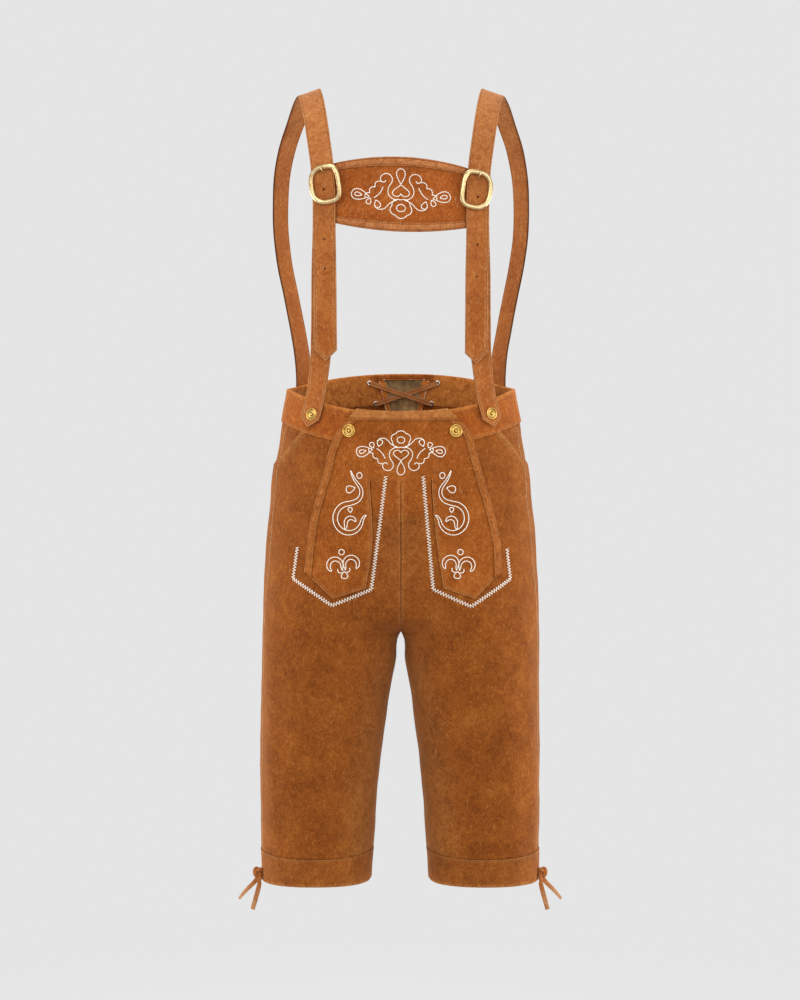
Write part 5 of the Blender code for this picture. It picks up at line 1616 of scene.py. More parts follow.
def add_strap(strap, side_name, rests_on, holes=(), radii=()):
    """A strap's outer face as a grid, with blocks left open for its holes."""
    columns = strap_columns(strap.width)
    rows, total, hole_rows = strap_rows(strap, holes)
    across = np.repeat(columns[None, :], len(rows), axis=0)
    along = rows[:, None] - strap.reach - strap_shift(strap, rows[:, None], across)
    to_side = strap.width / 2 - np.abs(across)
    to_end = np.minimum(rows / strap_slant(strap), total - rows)[:, None]
    distance = np.minimum(to_side, to_end)
    swell = sum(size * np.sin(along * rate + turn * strap.side) for rate, turn, size in STRAP_SWELL)
    lift = STRAP_THICKNESS + seam_lift(STITCHED_EDGE, distance) + swell
    points, outward = read_strap(strap, along, across, lift)
    place, spread, amount = SHOULDER_RUB
    lightened = amount * smooth_step(spread, 0.0, np.abs(rows - place))[:, None]
    wear = stronger(seam_wear_and_painted_shade(STITCHED_EDGE, distance), lightened)
    keep = np.ones((len(rows) - 1, len(columns) - 1), dtype=bool)
    middle = len(columns) // 2
    turns = full_turn(HOLE_POINTS)
    rims, squares = [], []
    for row, radius in zip(hole_rows, radii):
        keep[row - HOLE_BLOCK:row + HOLE_BLOCK, middle - HOLE_BLOCK:middle + HOLE_BLOCK] = False
        ahead = along[row, middle] + radius * np.cos(turns)
        rim, _ = read_strap(strap, ahead, radius * np.sin(turns), STRAP_THICKNESS)
        rims.append(rim)
        squares.append([(row + down) * len(columns) + middle + right for down, right in block_edge()])
    node = f"{strap.name}_{side_name}"
    filler = hole_filler(rims, squares) if rims else None
    mesh = sheet_mesh("strap", points, outward, strap_suede, wear, keep, filler)
    piece = add_piece(f"{node}_sewn", mesh, "suede_strap", node)
    thicken(piece, STRAP_THICKNESS, STRAP_ROUNDING)
    declare_sheet(piece, points, rests_on)


shoulder_straps = {
    name: Strap("shoulder_strap", side, STRAP_WIDTH, STRAP_POINT, TAIL_REACH[name])
    for name, side in SIDES.items()}
lower_straps = {
    name: Strap("lower_strap", side, LOWER_STRAP_WIDTH, LOWER_STRAP_POINT, 0.0)
    for name, side in SIDES.items()}
strap_front = strap_tables["shoulder_strap"][:STRAP_FRONT_ROWS]
for side_name in SIDES:
    strap = shoulder_straps[side_name]
    knots = run_along(strap_front[:, :3])
    heights, radii = zip(*HOLES[side_name])
    holes = (np.interp(heights, strap_front[:, 2], knots) + strap.reach).tolist()
    add_strap(strap, side_name, (f"waistband_back_{side_name}_sewn",), holes, radii)
    add_strap(lower_straps[side_name], side_name, (f"waistband_front_{side_name}_sewn",))

# %% [markdown]
# ## Chest bar
#
# The bar joins the two braces across the chest.  Its body is one hide with a border strip along
# the top and one along the bottom, each stitched twice.  The field between carries the
# embroidery.

# %% Chest bar
CHEST_HALF_WIDTH = 0.1120
CHEST_FRONT = -0.1250
CHEST_ROUND = 0.0150
CHEST_ROUND_X = 0.1040
CHEST_ROUND_POWER = 2.2
CHEST_TOP = -0.1015
CHEST_BOTTOM = -0.1983
CHEST_EDGE_X = 0.0885
CHEST_TOP_FALL = 0.0110
CHEST_BOTTOM_RISE = 0.0090
CHEST_TILT = -0.0380
CHEST_SPAN = CHEST_TOP - CHEST_BOTTOM
CHEST_COLUMNS = 79
CHEST_ROUNDING = 0.0003
CHEST_BORDER_REACH = 0.0840
CHEST_BORDER_FACE = LAY_GAP + 0.0002 + TRIM
CHEST_BORDER_COLUMNS = 61
# Slow waves of the stitched field, as of a strip that hangs between two straps: how many radians
# to a metre, where they start, how high they are, and how much they run on with the height.
CHEST_WAVES = ((31.0, 0.4, 0.0005), (73.0, 1.9, 0.0003), (118.0, 0.7, 0.0002))
CHEST_WAVE_RUN = 8
BORDER_EDGES = (
    Seam(0.0000, -0.00050, -1.0), Seam(0.0005, -0.00010, 0.7), Seam(0.0012, 0.00012, 0.5),
    Seam(0.0021, -0.00055, -0.8), Seam(0.0030, 0.00010, 0.6), Seam(0.0060, 0.00020, 0.5),
    Seam(0.0090, 0.00010, 0.6), Seam(0.0099, -0.00055, -0.8), Seam(0.0108, 0.00008, 0.5),
    Seam(0.0115, -0.00010, 0.7), Seam(0.0120, -0.00050, -1.0),
)


def chest_surface(x, drop, lift):
    """Points of the bar: x across, and drop from its top edge down."""
    x, drop, lift = np.broadcast_arrays(np.asarray(x, dtype=float), drop, lift)
    fall = (x / CHEST_EDGE_X) ** 2
    top = CHEST_TOP - CHEST_TOP_FALL * fall
    bottom = CHEST_BOTTOM + CHEST_BOTTOM_RISE * fall
    height = top + (bottom - top) * drop / CHEST_SPAN + CHEST_TILT * x
    turned = np.abs(x) / CHEST_ROUND_X
    depth = CHEST_FRONT + CHEST_ROUND * turned ** CHEST_ROUND_POWER
    slope = CHEST_ROUND * CHEST_ROUND_POWER / CHEST_ROUND_X * turned ** (CHEST_ROUND_POWER - 1)
    normals = unit(np.stack([np.sign(x) * slope, -np.ones_like(x), np.zeros_like(x)], axis=-1))
    wave = sum(size * np.sin(rate * x + start + CHEST_WAVE_RUN * height) for rate, start, size in CHEST_WAVES)
    return np.stack([x, depth, height], axis=-1) + normals * (lift + wave)[..., None], normals


x = np.linspace(-CHEST_HALF_WIDTH, CHEST_HALF_WIDTH, CHEST_COLUMNS)
drop = seam_places(CHEST_SPAN, STITCHED_EDGE, STITCHED_EDGE, PANEL_SPACING)[:, None]
points, outward = chest_surface(x, drop, 0.0)
wear = np.repeat(seam_wear_and_painted_shade(STITCHED_EDGE, np.minimum(drop, CHEST_SPAN - drop)), len(x), axis=1)
mesh = sheet_mesh("bar", points, outward, chest_suede, wear)
piece = add_piece("chest_bar_sewn", mesh, "suede_body", "chest_bar")
thicken(piece, SUEDE, CHEST_ROUNDING)
declare_sheet(piece, points)

x = np.linspace(-CHEST_BORDER_REACH, CHEST_BORDER_REACH, CHEST_BORDER_COLUMNS)
distance = distances(BORDER_EDGES)[:, None]
lift = CHEST_BORDER_FACE + seam_lift(BORDER_EDGES, distance)
wear = np.repeat(seam_wear_and_painted_shade(BORDER_EDGES, distance), len(x), axis=1)
for node, drop in (("chest_border_top", distance), ("chest_border_bottom", CHEST_SPAN - distance)):
    add_trim(node, *chest_surface(x, drop, lift), wear, chest_suede, TRIM, ("chest_bar_sewn",))

# %% [markdown]
# ## Gusset and lacing at the back
#
# A V of olive lining fills the split at the centre back.  It is quilted in upright channels that
# run towards its point.  Flat suede laces cross in front of it and end in nickel eyelets.

# %% Quilted gusset
GUSSET_THICKNESS = 0.0012
GUSSET_OVERLAP = 0.0040
GUSSET_LOWERING = 0.0025
GUSSET_INSET = SUEDE + LAY_GAP + 0.0002
GUSSET_PUFF = 0.0016
GUSSET_ROWS = 60
# The quilting lines are uneven, as shares of the half width from the middle.
GUSSET_LINES = (-1.0, -0.68, -0.40, -0.02, 0.30, 0.66, 1.0)
GUSSET_COLUMNS = 73
GUSSET_CREASE = 0.0005
# Past these shares of the half width the cloth is pieced with scraps; below these heights it is shaded.
SCRAP_EDGE = (0.70, 0.74)
SHADE_EDGE = (-0.404, -0.398)
SHADE = 0.50

share = np.linspace(0.0, 1.0, GUSSET_ROWS)[:, None]
height = GUSSET_TOP - GUSSET_LOWERING + (GUSSET_POINT - GUSSET_TOP) * share
half = gusset_half_width(height) + GUSSET_OVERLAP
across = np.linspace(-1.0, 1.0, GUSSET_COLUMNS)[None, :]
channel = np.interp(across, GUSSET_LINES, range(len(GUSSET_LINES)))
puff = np.abs(np.sin(np.pi * channel)) ** 0.6 * smooth_step(0.0, 0.012, half - 0.002)
crease = GUSSET_CREASE * (np.sin(height * 420 + 3 * across) + np.sin(height * 230 - 7 * across + 4 * channel))
lift = -GUSSET_INSET - GUSSET_THICKNESS - GUSSET_PUFF * puff - crease
points, normals = back_surface(half * across, height + 0 * across, lift)
patched = smooth_step(*SCRAP_EDGE, np.abs(across) + 0.05 * np.sin(height * 500 + 4 * across))
shaded = -SHADE * smooth_step(*SHADE_EDGE, height + 0.002 * np.sin(9 * across)) * (1 - patched)
mesh = sheet_mesh("gusset", points, -normals, lining_cloth, patched + shaded)
piece = add_piece("back_gusset_sewn", mesh, "gusset_cloth", "back_gusset")
thicken(piece, GUSSET_THICKNESS, 0.0)
declare_sheet(piece, points, ("back_panel_left", "back_panel_right"))
gusset_channels = [(half * line, height) for line in GUSSET_LINES[1:-1]]

# %% The strip that binds the gusset's top edge
EDGING_HALF_WIDTH = GUSSET_TOP_WIDTH / 2 + GUSSET_OVERLAP + 0.0030
EDGING_COLUMNS = 29
EDGING_DROP = 0.0085
EDGING_RISE = 0.0002
EDGING_OUTSIDE = -0.0012
EDGING_INSIDE = -0.0064

radius = (EDGING_OUTSIDE - EDGING_INSIDE) / 2
turn = fold_turn()
leg = np.append(distances(STITCHED_EDGE), EDGING_DROP - radius)
dips, worn_and_painted_light = seam_lift(STITCHED_EDGE, leg), seam_wear_and_painted_shade(STITCHED_EDGE, leg)
lifts = np.concatenate([
    EDGING_INSIDE - dips, EDGING_INSIDE + radius + radius * np.cos(turn), EDGING_OUTSIDE + dips[::-1]])
drops = np.concatenate([EDGING_DROP - leg, radius - radius * np.sin(turn), EDGING_DROP - leg[::-1]])
looks = np.concatenate([-np.ones(len(leg)), np.sign(np.cos(turn) + 0.01), np.ones(len(leg))])
wears_and_painted_light = np.concatenate([worn_and_painted_light, np.full(len(turn), FOLD_WEAR), worn_and_painted_light[::-1]])
across = np.linspace(-EDGING_HALF_WIDTH, EDGING_HALF_WIDTH, EDGING_COLUMNS)
points, normals = back_surface(across, waist_line(across, -1) + EDGING_RISE - drops[:, None], lifts[:, None])
wear = np.repeat(wears_and_painted_light[:, None], len(across), axis=1)
mesh = sheet_mesh("edging", points, normals * looks[:, None, None], trim_suede, wear)
edging = add_piece("gusset_edging", mesh, "suede_trim")
thicken(edging, BAND_HIDE, TRIM_ROUNDING)
declare_sheet(edging, points, ("back_gusset_sewn",))


# %% A flat strip along a route, and a strand swept along one
STRIP_COLUMNS = np.array((-0.5, -0.42, -0.2, 0.0, 0.2, 0.42, 0.5))
STRIP_CROWN = 0.25


def flat_strip(name, middle, faces, width, thickness, material):
    """The outer face of a flat strip, which lies over the route by its thickness and is slightly domed."""
    way = unit(np.gradient(middle, axis=0))
    across = unit(np.cross(way, faces))
    normal = np.cross(across, way)
    crown = thickness * (1 - STRIP_CROWN * (2 * STRIP_COLUMNS) ** 2)
    spread = across[:, None] * (STRIP_COLUMNS * width)[:, None]
    points = middle[:, None] + spread + normal[:, None] * crown[:, None]
    outward = np.repeat(normal[:, None], len(STRIP_COLUMNS), axis=1)
    wear = np.repeat(np.abs(STRIP_COLUMNS)[None, :], len(middle), axis=0)
    return sheet_mesh(name, points, outward, material, wear)


def closed_mesh(name, points, faces, material):
    """A closed mesh whose faces are turned so that the volume they enclose is positive."""
    mesh = bpy.data.meshes.new(name)
    mesh.from_pydata(points.tolist(), [], faces)
    mesh.materials.append(material)
    mesh.shade_smooth()
    mesh.calc_loop_triangles()
    spots = np.array([vertex.co for vertex in mesh.vertices])
    triangles = np.array([triangle.vertices for triangle in mesh.loop_triangles])
    a, b, c = (spots[triangles[:, corner]] for corner in range(3))
    if (a * np.cross(b, c)).sum() < 0:
        mesh.flip_normals()
    return mesh


def swept(name, middle, normals, outline, material, closed=False):
    """A closed solid: an outline of (along the across way, along the normal) swept on a route."""
    ways = np.roll(middle, -1, axis=0) - np.roll(middle, 1, axis=0) if closed else np.gradient(middle, axis=0)
    across = unit(np.cross(ways, np.broadcast_to(normals, middle.shape)))
    normal = np.cross(across, unit(ways))
    outline = np.broadcast_to(outline, (len(middle), *np.shape(outline)[-2:]))
    points = middle[:, None] + across[:, None] * outline[..., :1] + normal[:, None] * outline[..., 1:]
    numbers = np.arange(points[..., 0].size).reshape(points.shape[:2])
    loops = np.concatenate([numbers, numbers[:1]]) if closed else numbers
    after = np.roll(loops, -1, axis=1)
    faces = np.stack([loops[:-1], after[:-1], after[1:], loops[1:]], axis=-1).reshape(-1, 4).tolist()
    if not closed:
        faces += [numbers[0][::-1].tolist(), numbers[-1].tolist()]
    return closed_mesh(name, points.reshape(-1, 3), faces, material)


def smooth_route(stations, count):
    """Even points along a smooth curve through a few stations."""
    knots = run_along(stations)
    places = np.linspace(0.0, knots[-1], count)
    return np.stack([curve_through(knots, column)(places) for column in np.transpose(stations)], axis=1)


def oval_section(width, height, count, power=1.0):
    """A section for a strand, round or, with a power under 1, flattened at its sides."""
    turns = full_turn(count)
    x = width / 2 * signed_power(np.cos(turns), power)
    y = height / 2 * signed_power(np.sin(turns), power)
    return np.stack([x, y], axis=1)


def face_frame(normal):
    """The ways to the right and up on a face that looks along normal, from the front."""
    right_way = unit(np.array((1.0, 0.0, 0.0)) - normal * normal[0])
    return right_way, np.cross(normal, right_way)


def declare_cord(piece, middle):
    """Prints the length of a lace or tail along its middle."""
    length = float(run_along(middle)[-1])
    print(f"{piece.name}: {1000 * length:.0f} mm long")


# %% Laces and eyelets
LACE_WIDTH = 0.0064
LACE_THICKNESS = 0.0015
LACE_STAND_OFF = 0.0024
LACE_ROUNDING = 0.0003
LACE_POINTS = 40
# How far each crossing lace bows inwards, so that one passes behind the other.
LACE_BOWS = {"left": 0.0010, "right": 0.0034}
EYELET_POINTS = 32
EYELET_RADIUS = 0.0026
EYELET_WIRE = 0.0009
EYELET_HEIGHTS = (-0.3915, -0.4195)
EYELET_XS = (0.0475, 0.0385)


def lace_middle(start, end, lift, bow):
    """A lace from one eyelet to another; inside the waist it spans the gap in a shallow arc."""
    share = np.linspace(0.0, 1.0, LACE_POINTS)
    x = start[0] + (end[0] - start[0]) * share
    height = start[1] + (end[1] - start[1]) * share
    points, normals = back_surface(x, height, lift)
    if lift < 0:
        points[:, 1] = (points[0, 1] + points[-1, 1]) / 2 - bow * np.sin(np.pi * share)
        normals = np.tile((0.0, 1.0, 0.0), (LACE_POINTS, 1))
    return points, normals


inside = -(SUEDE + 2 * LAY_GAP + LACE_THICKNESS + 2 * EYELET_WIRE + LACE_STAND_OFF)
outside = BAND + 2 * LAY_GAP
upper_x, lower_x = EYELET_XS
upper, lower = EYELET_HEIGHTS
LACES = {
    "lace_cross_left": ((upper_x, upper), (-lower_x, lower), inside, LACE_BOWS["left"]),
    "lace_cross_right": ((-upper_x, upper), (lower_x, lower), inside, LACE_BOWS["right"]),
    "lace_bar_upper": ((-upper_x, upper), (upper_x, upper), outside, 0.0),
    "lace_bar_lower": ((-lower_x, lower), (lower_x, lower), outside, 0.0),
}
for node, (start, end, lift, bow) in LACES.items():
    middle, faces = lace_middle(start, end, lift, bow)
    mesh = flat_strip("lace", middle, faces, LACE_WIDTH, LACE_THICKNESS, tie_suede)
    piece = add_piece(f"{node}_cut", mesh, "suede_strap", node)
    thicken(piece, LACE_THICKNESS, LACE_ROUNDING)
    declare_cord(piece, middle)

flange = oval_section(3 * EYELET_WIRE, 2 * EYELET_WIRE, 12)
turns = full_turn(EYELET_POINTS)[:, None]
for row, x, height in zip(("upper", "lower"), EYELET_XS, EYELET_HEIGHTS):
    for side_name, side in SIDES.items():
        place, normal = back_surface(side * x, height, -(SUEDE + LAY_GAP + EYELET_WIRE))
        right_way = unit(np.cross((0.0, 0.0, 1.0), normal))
        up_way = np.cross(normal, right_way)
        rim = place + EYELET_RADIUS * (np.cos(turns) * right_way + np.sin(turns) * up_way)
        mesh = swept("eyelet", rim, normal, flange, nickel, closed=True)
        node = f"eyelet_{row}_{side_name}"
        add_piece(f"{node}_pressed", mesh, "nickel", node)
print("laces:", len(LACES), "eyelets:", len(SIDES) * len(EYELET_XS))

# %% [markdown]
# ## Buckles
#
# Each brace passes through a cast brass frame, square towards the chest and round on the outer
# side.  Its section is a D: domed in front, flat behind.  The prong tapers and rests in a worn
# place on the upper bar.

# %% Buckle frames and prongs
BUCKLE_HALF_WIDTH = 0.0187
BUCKLE_HALF_HEIGHT = 0.0228
BUCKLE_WIRE = 0.0032
BUCKLE_BACK = 0.6
BUCKLE_HEIGHTS = {"left": -0.1438, "right": -0.1370}
BUCKLE_LEAN = math.radians(9)
BUCKLE_SHIFT = 0.0035
BUCKLE_CLEARANCE = 0.0009
BUCKLE_POINTS = 112
BUCKLE_OUTER_POWER = 2 / 2.5
BUCKLE_INNER_POWER = 2 / 3.6
DOME_POINTS = 14
# A prong's points: how far below the frame's top and out from it, in wires, and its radius.
PRONG_POINTS = 26
ProngPoint = namedtuple("ProngPoint", "below out radius")
PRONG_ROUTE = (
    ProngPoint(2.50, -0.55, 0.0013),
    ProngPoint(1.80, 0.30, 0.0013),
    ProngPoint(1.20, 1.12, 0.0012),
    ProngPoint(0.60, 1.46, 0.0011),
    ProngPoint(0.00, 1.50, 0.0010),
    ProngPoint(-0.50, 1.42, 0.0008),
)


def strap_station(height):
    """Where the front of the left brace is at a height: the middle of its inner face, and its look."""
    place = [float(curve_through(strap_front[:, 2], column)(height)) for column in strap_front.T]
    return np.array((place[0], place[1], height)), unit(np.array((place[3], place[4], 0.0)))


def d_section(half_width, front, back):
    """A bar's section: a dome in front and a flat back with rounded corners."""
    turns = np.linspace(0.0, math.pi, DOME_POINTS)
    side, corner = 0.96 * half_width, 0.7 * half_width
    dome = [(half_width * math.cos(turn), front * math.sin(turn) ** 0.8) for turn in turns]
    flat = [(-side, -0.7 * back), (-corner, -back), (0.0, -back), (corner, -back), (side, -0.7 * back)]
    return np.array(dome + flat)


for side_name, side in SIDES.items():
    place, normal = strap_station(BUCKLE_HEIGHTS[side_name])
    place = place + normal * (STRAP_THICKNESS + BUCKLE_WIRE + BUCKLE_CLEARANCE)
    place[0] = side * (place[0] - BUCKLE_SHIFT)
    normal = normal * (side, 1.0, 1.0)
    right_way, up_way = face_frame(normal)
    lean = -side * BUCKLE_LEAN
    across = right_way * math.cos(lean) + up_way * math.sin(lean)
    above = up_way * math.cos(lean) - right_way * math.sin(lean)
    turns = full_turn(BUCKLE_POINTS)
    power = np.where(np.cos(turns) > 0, BUCKLE_OUTER_POWER, BUCKLE_INNER_POWER)
    x = side * BUCKLE_HALF_WIDTH * signed_power(np.cos(turns), power)
    y = BUCKLE_HALF_HEIGHT * signed_power(np.sin(turns), power)
    middle = place + x[:, None] * across + y[:, None] * above
    # Even steps keep the swept section the same all round.
    closed = np.concatenate([middle, middle[:1]])
    run = run_along(closed)
    even = np.linspace(0.0, run[-1], BUCKLE_POINTS, endpoint=False)
    middle = np.stack([np.interp(even, run, column) for column in closed.T], axis=1)
    section = d_section(BUCKLE_WIRE, BUCKLE_WIRE, BUCKLE_BACK * BUCKLE_WIRE)
    mesh = swept("buckle", middle, normal, section, pale_brass, closed=True)
    add_piece(f"buckle_frame_{side_name}_cast", mesh, "brass", f"buckle_frame_{side_name}")
    stations = []
    for spot in PRONG_ROUTE:
        height = BUCKLE_HALF_HEIGHT - spot.below * BUCKLE_WIRE
        stations.append((*(place + above * height + normal * spot.out * BUCKLE_WIRE), spot.radius))
    route = smooth_route(stations, PRONG_POINTS)
    ends = np.sqrt(np.clip(1 - np.linspace(-1, 1, PRONG_POINTS)[:, None, None] ** 12, 0.02, 1.0))
    section = oval_section(2, 2, 14) * route[:, 3, None, None] * ends
    mesh = swept("prong", route[:, :3], above, section, pale_brass)
    add_piece(f"buckle_prong_{side_name}_cast", mesh, "brass", f"buckle_prong_{side_name}")
print("buckle, mm:", 2000 * (BUCKLE_HALF_WIDTH + BUCKLE_WIRE), 2000 * (BUCKLE_HALF_HEIGHT + BUCKLE_WIRE))

# %% [markdown]
# ## Buttons
#
# The buttons are pressed from brass sheet: a rolled rim, two raised rings, and a domed stud in
# the middle.  Their face is one relief on a polar grid, and a flat back closes the shape.  The
# recesses keep a dark patina.

# %% Pressed brass buttons
FLAP_BUTTON_RADIUS = 0.0086
WAIST_BUTTON_RADIUS = 0.0080
ButtonPlace = namedtuple("ButtonPlace", "node x height radius lift")
BUTTONS = (
    ButtonPlace("waist_button_left", 0.1146, -0.4350, WAIST_BUTTON_RADIUS, 0.0074),
    ButtonPlace("waist_button_right", -0.1130, -0.4360, WAIST_BUTTON_RADIUS, 0.0074),
    ButtonPlace("flap_button_left", 0.0706, -0.4572, FLAP_BUTTON_RADIUS, 0.0047),
    ButtonPlace("flap_button_right", -0.0668, -0.4572, FLAP_BUTTON_RADIUS, 0.0047),
)
# The face from the middle outwards: share of the radius, height, and patina.
ButtonRing = namedtuple("ButtonRing", "radius height patina")
BUTTON_FACE = (
    ButtonRing(0.00, 0.430, 0.0),
    ButtonRing(0.12, 0.415, 0.0),
    ButtonRing(0.19, 0.340, 0.1),
    ButtonRing(0.22, 0.170, 0.9),
    ButtonRing(0.28, 0.140, 1.0),
    ButtonRing(0.32, 0.180, 0.6),
    ButtonRing(0.37, 0.235, 0.0),
    ButtonRing(0.46, 0.240, 0.0),
    ButtonRing(0.52, 0.195, 0.3),
    ButtonRing(0.56, 0.165, 0.7),
    ButtonRing(0.60, 0.195, 0.3),
    ButtonRing(0.65, 0.215, 0.0),
    ButtonRing(0.70, 0.190, 0.3),
    ButtonRing(0.74, 0.150, 0.8),
    ButtonRing(0.79, 0.160, 0.8),
    ButtonRing(0.84, 0.280, 0.1),
    ButtonRing(0.90, 0.320, 0.0),
    ButtonRing(0.96, 0.280, 0.0),
    ButtonRing(1.00, 0.170, 0.3),
    ButtonRing(0.97, 0.040, 0.6),
    ButtonRing(0.93, 0.000, 0.6),
)
BUTTON_STEPS = 112

turns = full_turn(BUTTON_STEPS)
# The first row is one point in the middle; a fan of triangles joins it to the next.
numbers = 1 + np.arange((len(BUTTON_FACE) - 1) * BUTTON_STEPS).reshape(-1, BUTTON_STEPS)
after = np.roll(numbers, -1, axis=1)
button_faces = [[0, int(near), int(far)] for near, far in zip(numbers[0], after[0])]
button_faces += np.stack([numbers[:-1], numbers[1:], after[1:], after[:-1]], axis=-1).reshape(-1, 4).tolist()
button_faces.append(numbers[-1][::-1].tolist())
patina = [BUTTON_FACE[0].patina] + [row.patina for row in BUTTON_FACE[1:] for _ in turns]
for button in BUTTONS:
    place, normal = front_surface(button.x, button.height, button.lift)
    right_way, up_way = face_frame(normal)
    spots = [place + normal * BUTTON_FACE[0].height * button.radius]
    for row in BUTTON_FACE[1:]:
        around = np.cos(turns)[:, None] * right_way + np.sin(turns)[:, None] * up_way
        spots.extend(place + button.radius * (row.radius * around + row.height * normal))
    mesh = closed_mesh("button", np.array(spots), button_faces, button_brass)
    store(mesh, "wear", "FLOAT", "value", patina)
    add_piece(f"{button.node}_pressed", mesh, "brass", button.node)
print("buttons:", len(BUTTONS))

# %% [markdown]
# ## Hem ties
#
# At the side of each hem a short suede lace is knotted and its two ends hang free.  The knot is a
# strand wound over itself in a small overhand turn, and the tails are flat, with a slight twist.

# %% Knots and tails
KNOT_HEIGHT = -1.0520
KNOT_STAND_OFF = BAND + 2 * LAY_GAP + 0.0040
TIE_WIDTH = 0.0064
TIE_THICKNESS = 0.0018
KNOT_STEPS = 96
KNOT_RADIUS = 0.0027
KNOT_SWEEP = (0.0046, 0.0032, 0.0080)
TREFOIL_REACH = 2.6
TAIL_POINTS = 34
# A tail twists by this much on its way, from its own start, and starts narrower inside the knot.
TAIL_TWIST = 0.9
TAIL_STARTS = {"outer": 0.3, "inner": -0.5}
TAIL_NARROW = 0.45
TiePoint = namedtuple("TiePoint", "out forward down")
TIE_TAILS = {
    "outer": (
        TiePoint(0.0012, 0.0004, 0.0042),
        TiePoint(0.0030, 0.0004, 0.0085),
        TiePoint(0.0062, 0.0024, 0.0120),
        TiePoint(0.0122, 0.0060, 0.0175),
        TiePoint(0.0190, 0.0085, 0.0243),
        TiePoint(0.0255, 0.0100, 0.0322),
    ),
    "inner": (
        TiePoint(-0.0024, 0.0038, 0.0080),
        TiePoint(-0.0008, 0.0064, 0.0170),
        TiePoint(0.0018, 0.0078, 0.0270),
        TiePoint(0.0046, 0.0078, 0.0370),
        TiePoint(0.0074, 0.0070, 0.0468),
    ),
}


def knot_route(side):
    """A trefoil, which is what an overhand knot is when its ends are joined, pulled up tall."""
    turns = full_turn(KNOT_STEPS)
    x = np.sin(turns) + 2 * np.sin(2 * turns)
    z = np.cos(turns) - 2 * np.cos(2 * turns)
    y = -np.sin(3 * turns)
    wide, deep, tall = KNOT_SWEEP
    return np.stack([side * x * wide / TREFOIL_REACH, y * deep, z * tall / TREFOIL_REACH], axis=1)


for side_name, side in SIDES.items():
    place, _ = surface(side, KNOT_HEIGHT, SIDE_SEAM_ANGLE, KNOT_STAND_OFF)
    section = oval_section(2 * KNOT_RADIUS, 1.7 * KNOT_RADIUS, 12)
    mesh = swept("knot", place + knot_route(side), (0.0, -1.0, 0.0), section, tie_suede, closed=True)
    knot = add_piece(f"tie_knot_{side_name}_tied", mesh, "suede_strap", f"tie_knot_{side_name}")
    for tail_name, tail in TIE_TAILS.items():
        stations = [place + (side * spot.out, -spot.forward, -spot.down) for spot in tail]
        middle = smooth_route(stations, TAIL_POINTS)
        share = np.linspace(0.0, 1.0, TAIL_POINTS)
        twist = side * (TAIL_TWIST * share + TAIL_STARTS[tail_name])
        faces = np.stack([np.sin(twist), -np.cos(twist), 0 * twist], axis=1)
        section = oval_section(TIE_WIDTH, TIE_THICKNESS, 16, 0.7)
        narrow = (1 - TAIL_NARROW * smooth_step(0.12, 0.0, share))[:, None, None]
        mesh = swept("tail", middle, faces, section * narrow, tie_suede)
        store(mesh, "wear", "FLOAT", "value", np.repeat(smooth_step(0.1, 1.0, share), len(section)))
        node = f"tie_tail_{tail_name}_{side_name}"
        piece = add_piece(f"{node}_cut", mesh, "suede_strap", node)
        declare_cord(piece, middle)

# %% [markdown]
# ## Sewing
#
# Every stitch is a short piece of thread pulled into the leather.  One Geometry Nodes tree sews
# them all: it walks each line in even steps, swings the steps from side to side for a zigzag,
# and lays a small spindle from each step to the next.  Its inputs are the step, the swing, how
# far a stitch fills its step, how it slants, the thread's radius and its height over the line.

# %% The sewing tree
STITCH_SEGMENTS = 6
STITCH_RINGS = 4
# A stitch's sizes are the tree's inputs, in this order.
Stitch = namedtuple("Stitch", "pitch swing fill slant radius lift")

sewing = bpy.data.node_groups.new("sewn_stitches", "GeometryNodeTree")
sewing.interface.new_socket("Line", in_out="INPUT", socket_type="NodeSocketGeometry")
for label in Stitch._fields:
    sewing.interface.new_socket(label.title(), in_out="INPUT", socket_type="NodeSocketFloat")
sewing.interface.new_socket("Thread", in_out="INPUT", socket_type="NodeSocketMaterial")
sewing.interface.new_socket("Stitches", in_out="OUTPUT", socket_type="NodeSocketGeometry")
given = add_node(sewing, "NodeGroupInput").outputs
out = add_node(sewing, "GeometryNodeInputNamedAttribute", {"Name": "out"}, data_type="FLOAT_VECTOR")
line = add_node(sewing, "GeometryNodeMeshToCurve", {"Mesh": given["Line"]})
steps = add_node(sewing, "GeometryNodeResampleCurve", {
    "Curve": line, "Length": given["Pitch"],
}, mode="LENGTH")
print("a stitch's sizes:", Stitch._fields)

# %% Steps that swing from side to side, above the line
tangent = add_node(sewing, "GeometryNodeInputTangent")
sideways = add_node(sewing, "ShaderNodeVectorMath", {0: tangent, 1: out}, operation="CROSS_PRODUCT")
index = add_node(sewing, "GeometryNodeInputIndex")
odd = add_node(sewing, "ShaderNodeMath", {0: index, 1: 2.0}, operation="MODULO")
turn = add_node(sewing, "ShaderNodeMath", {0: odd, 1: 2.0, 2: -1.0}, operation="MULTIPLY_ADD")
swing = add_node(sewing, "ShaderNodeMath", {0: turn, 1: given["Swing"]}, operation="MULTIPLY")
swung = add_node(sewing, "ShaderNodeVectorMath", {0: sideways, "Scale": swing}, operation="SCALE")
raised = add_node(sewing, "ShaderNodeVectorMath", {0: out, "Scale": given["Lift"]}, operation="SCALE")
offset = add_node(sewing, "ShaderNodeVectorMath", {0: swung, 1: raised}, operation="ADD")
placed = add_node(sewing, "GeometryNodeSetPosition", {"Geometry": steps, "Offset": offset})
chain = add_node(sewing, "GeometryNodeCurveToMesh", {"Curve": placed})
print("nodes that lay out the steps:", len(sewing.nodes))

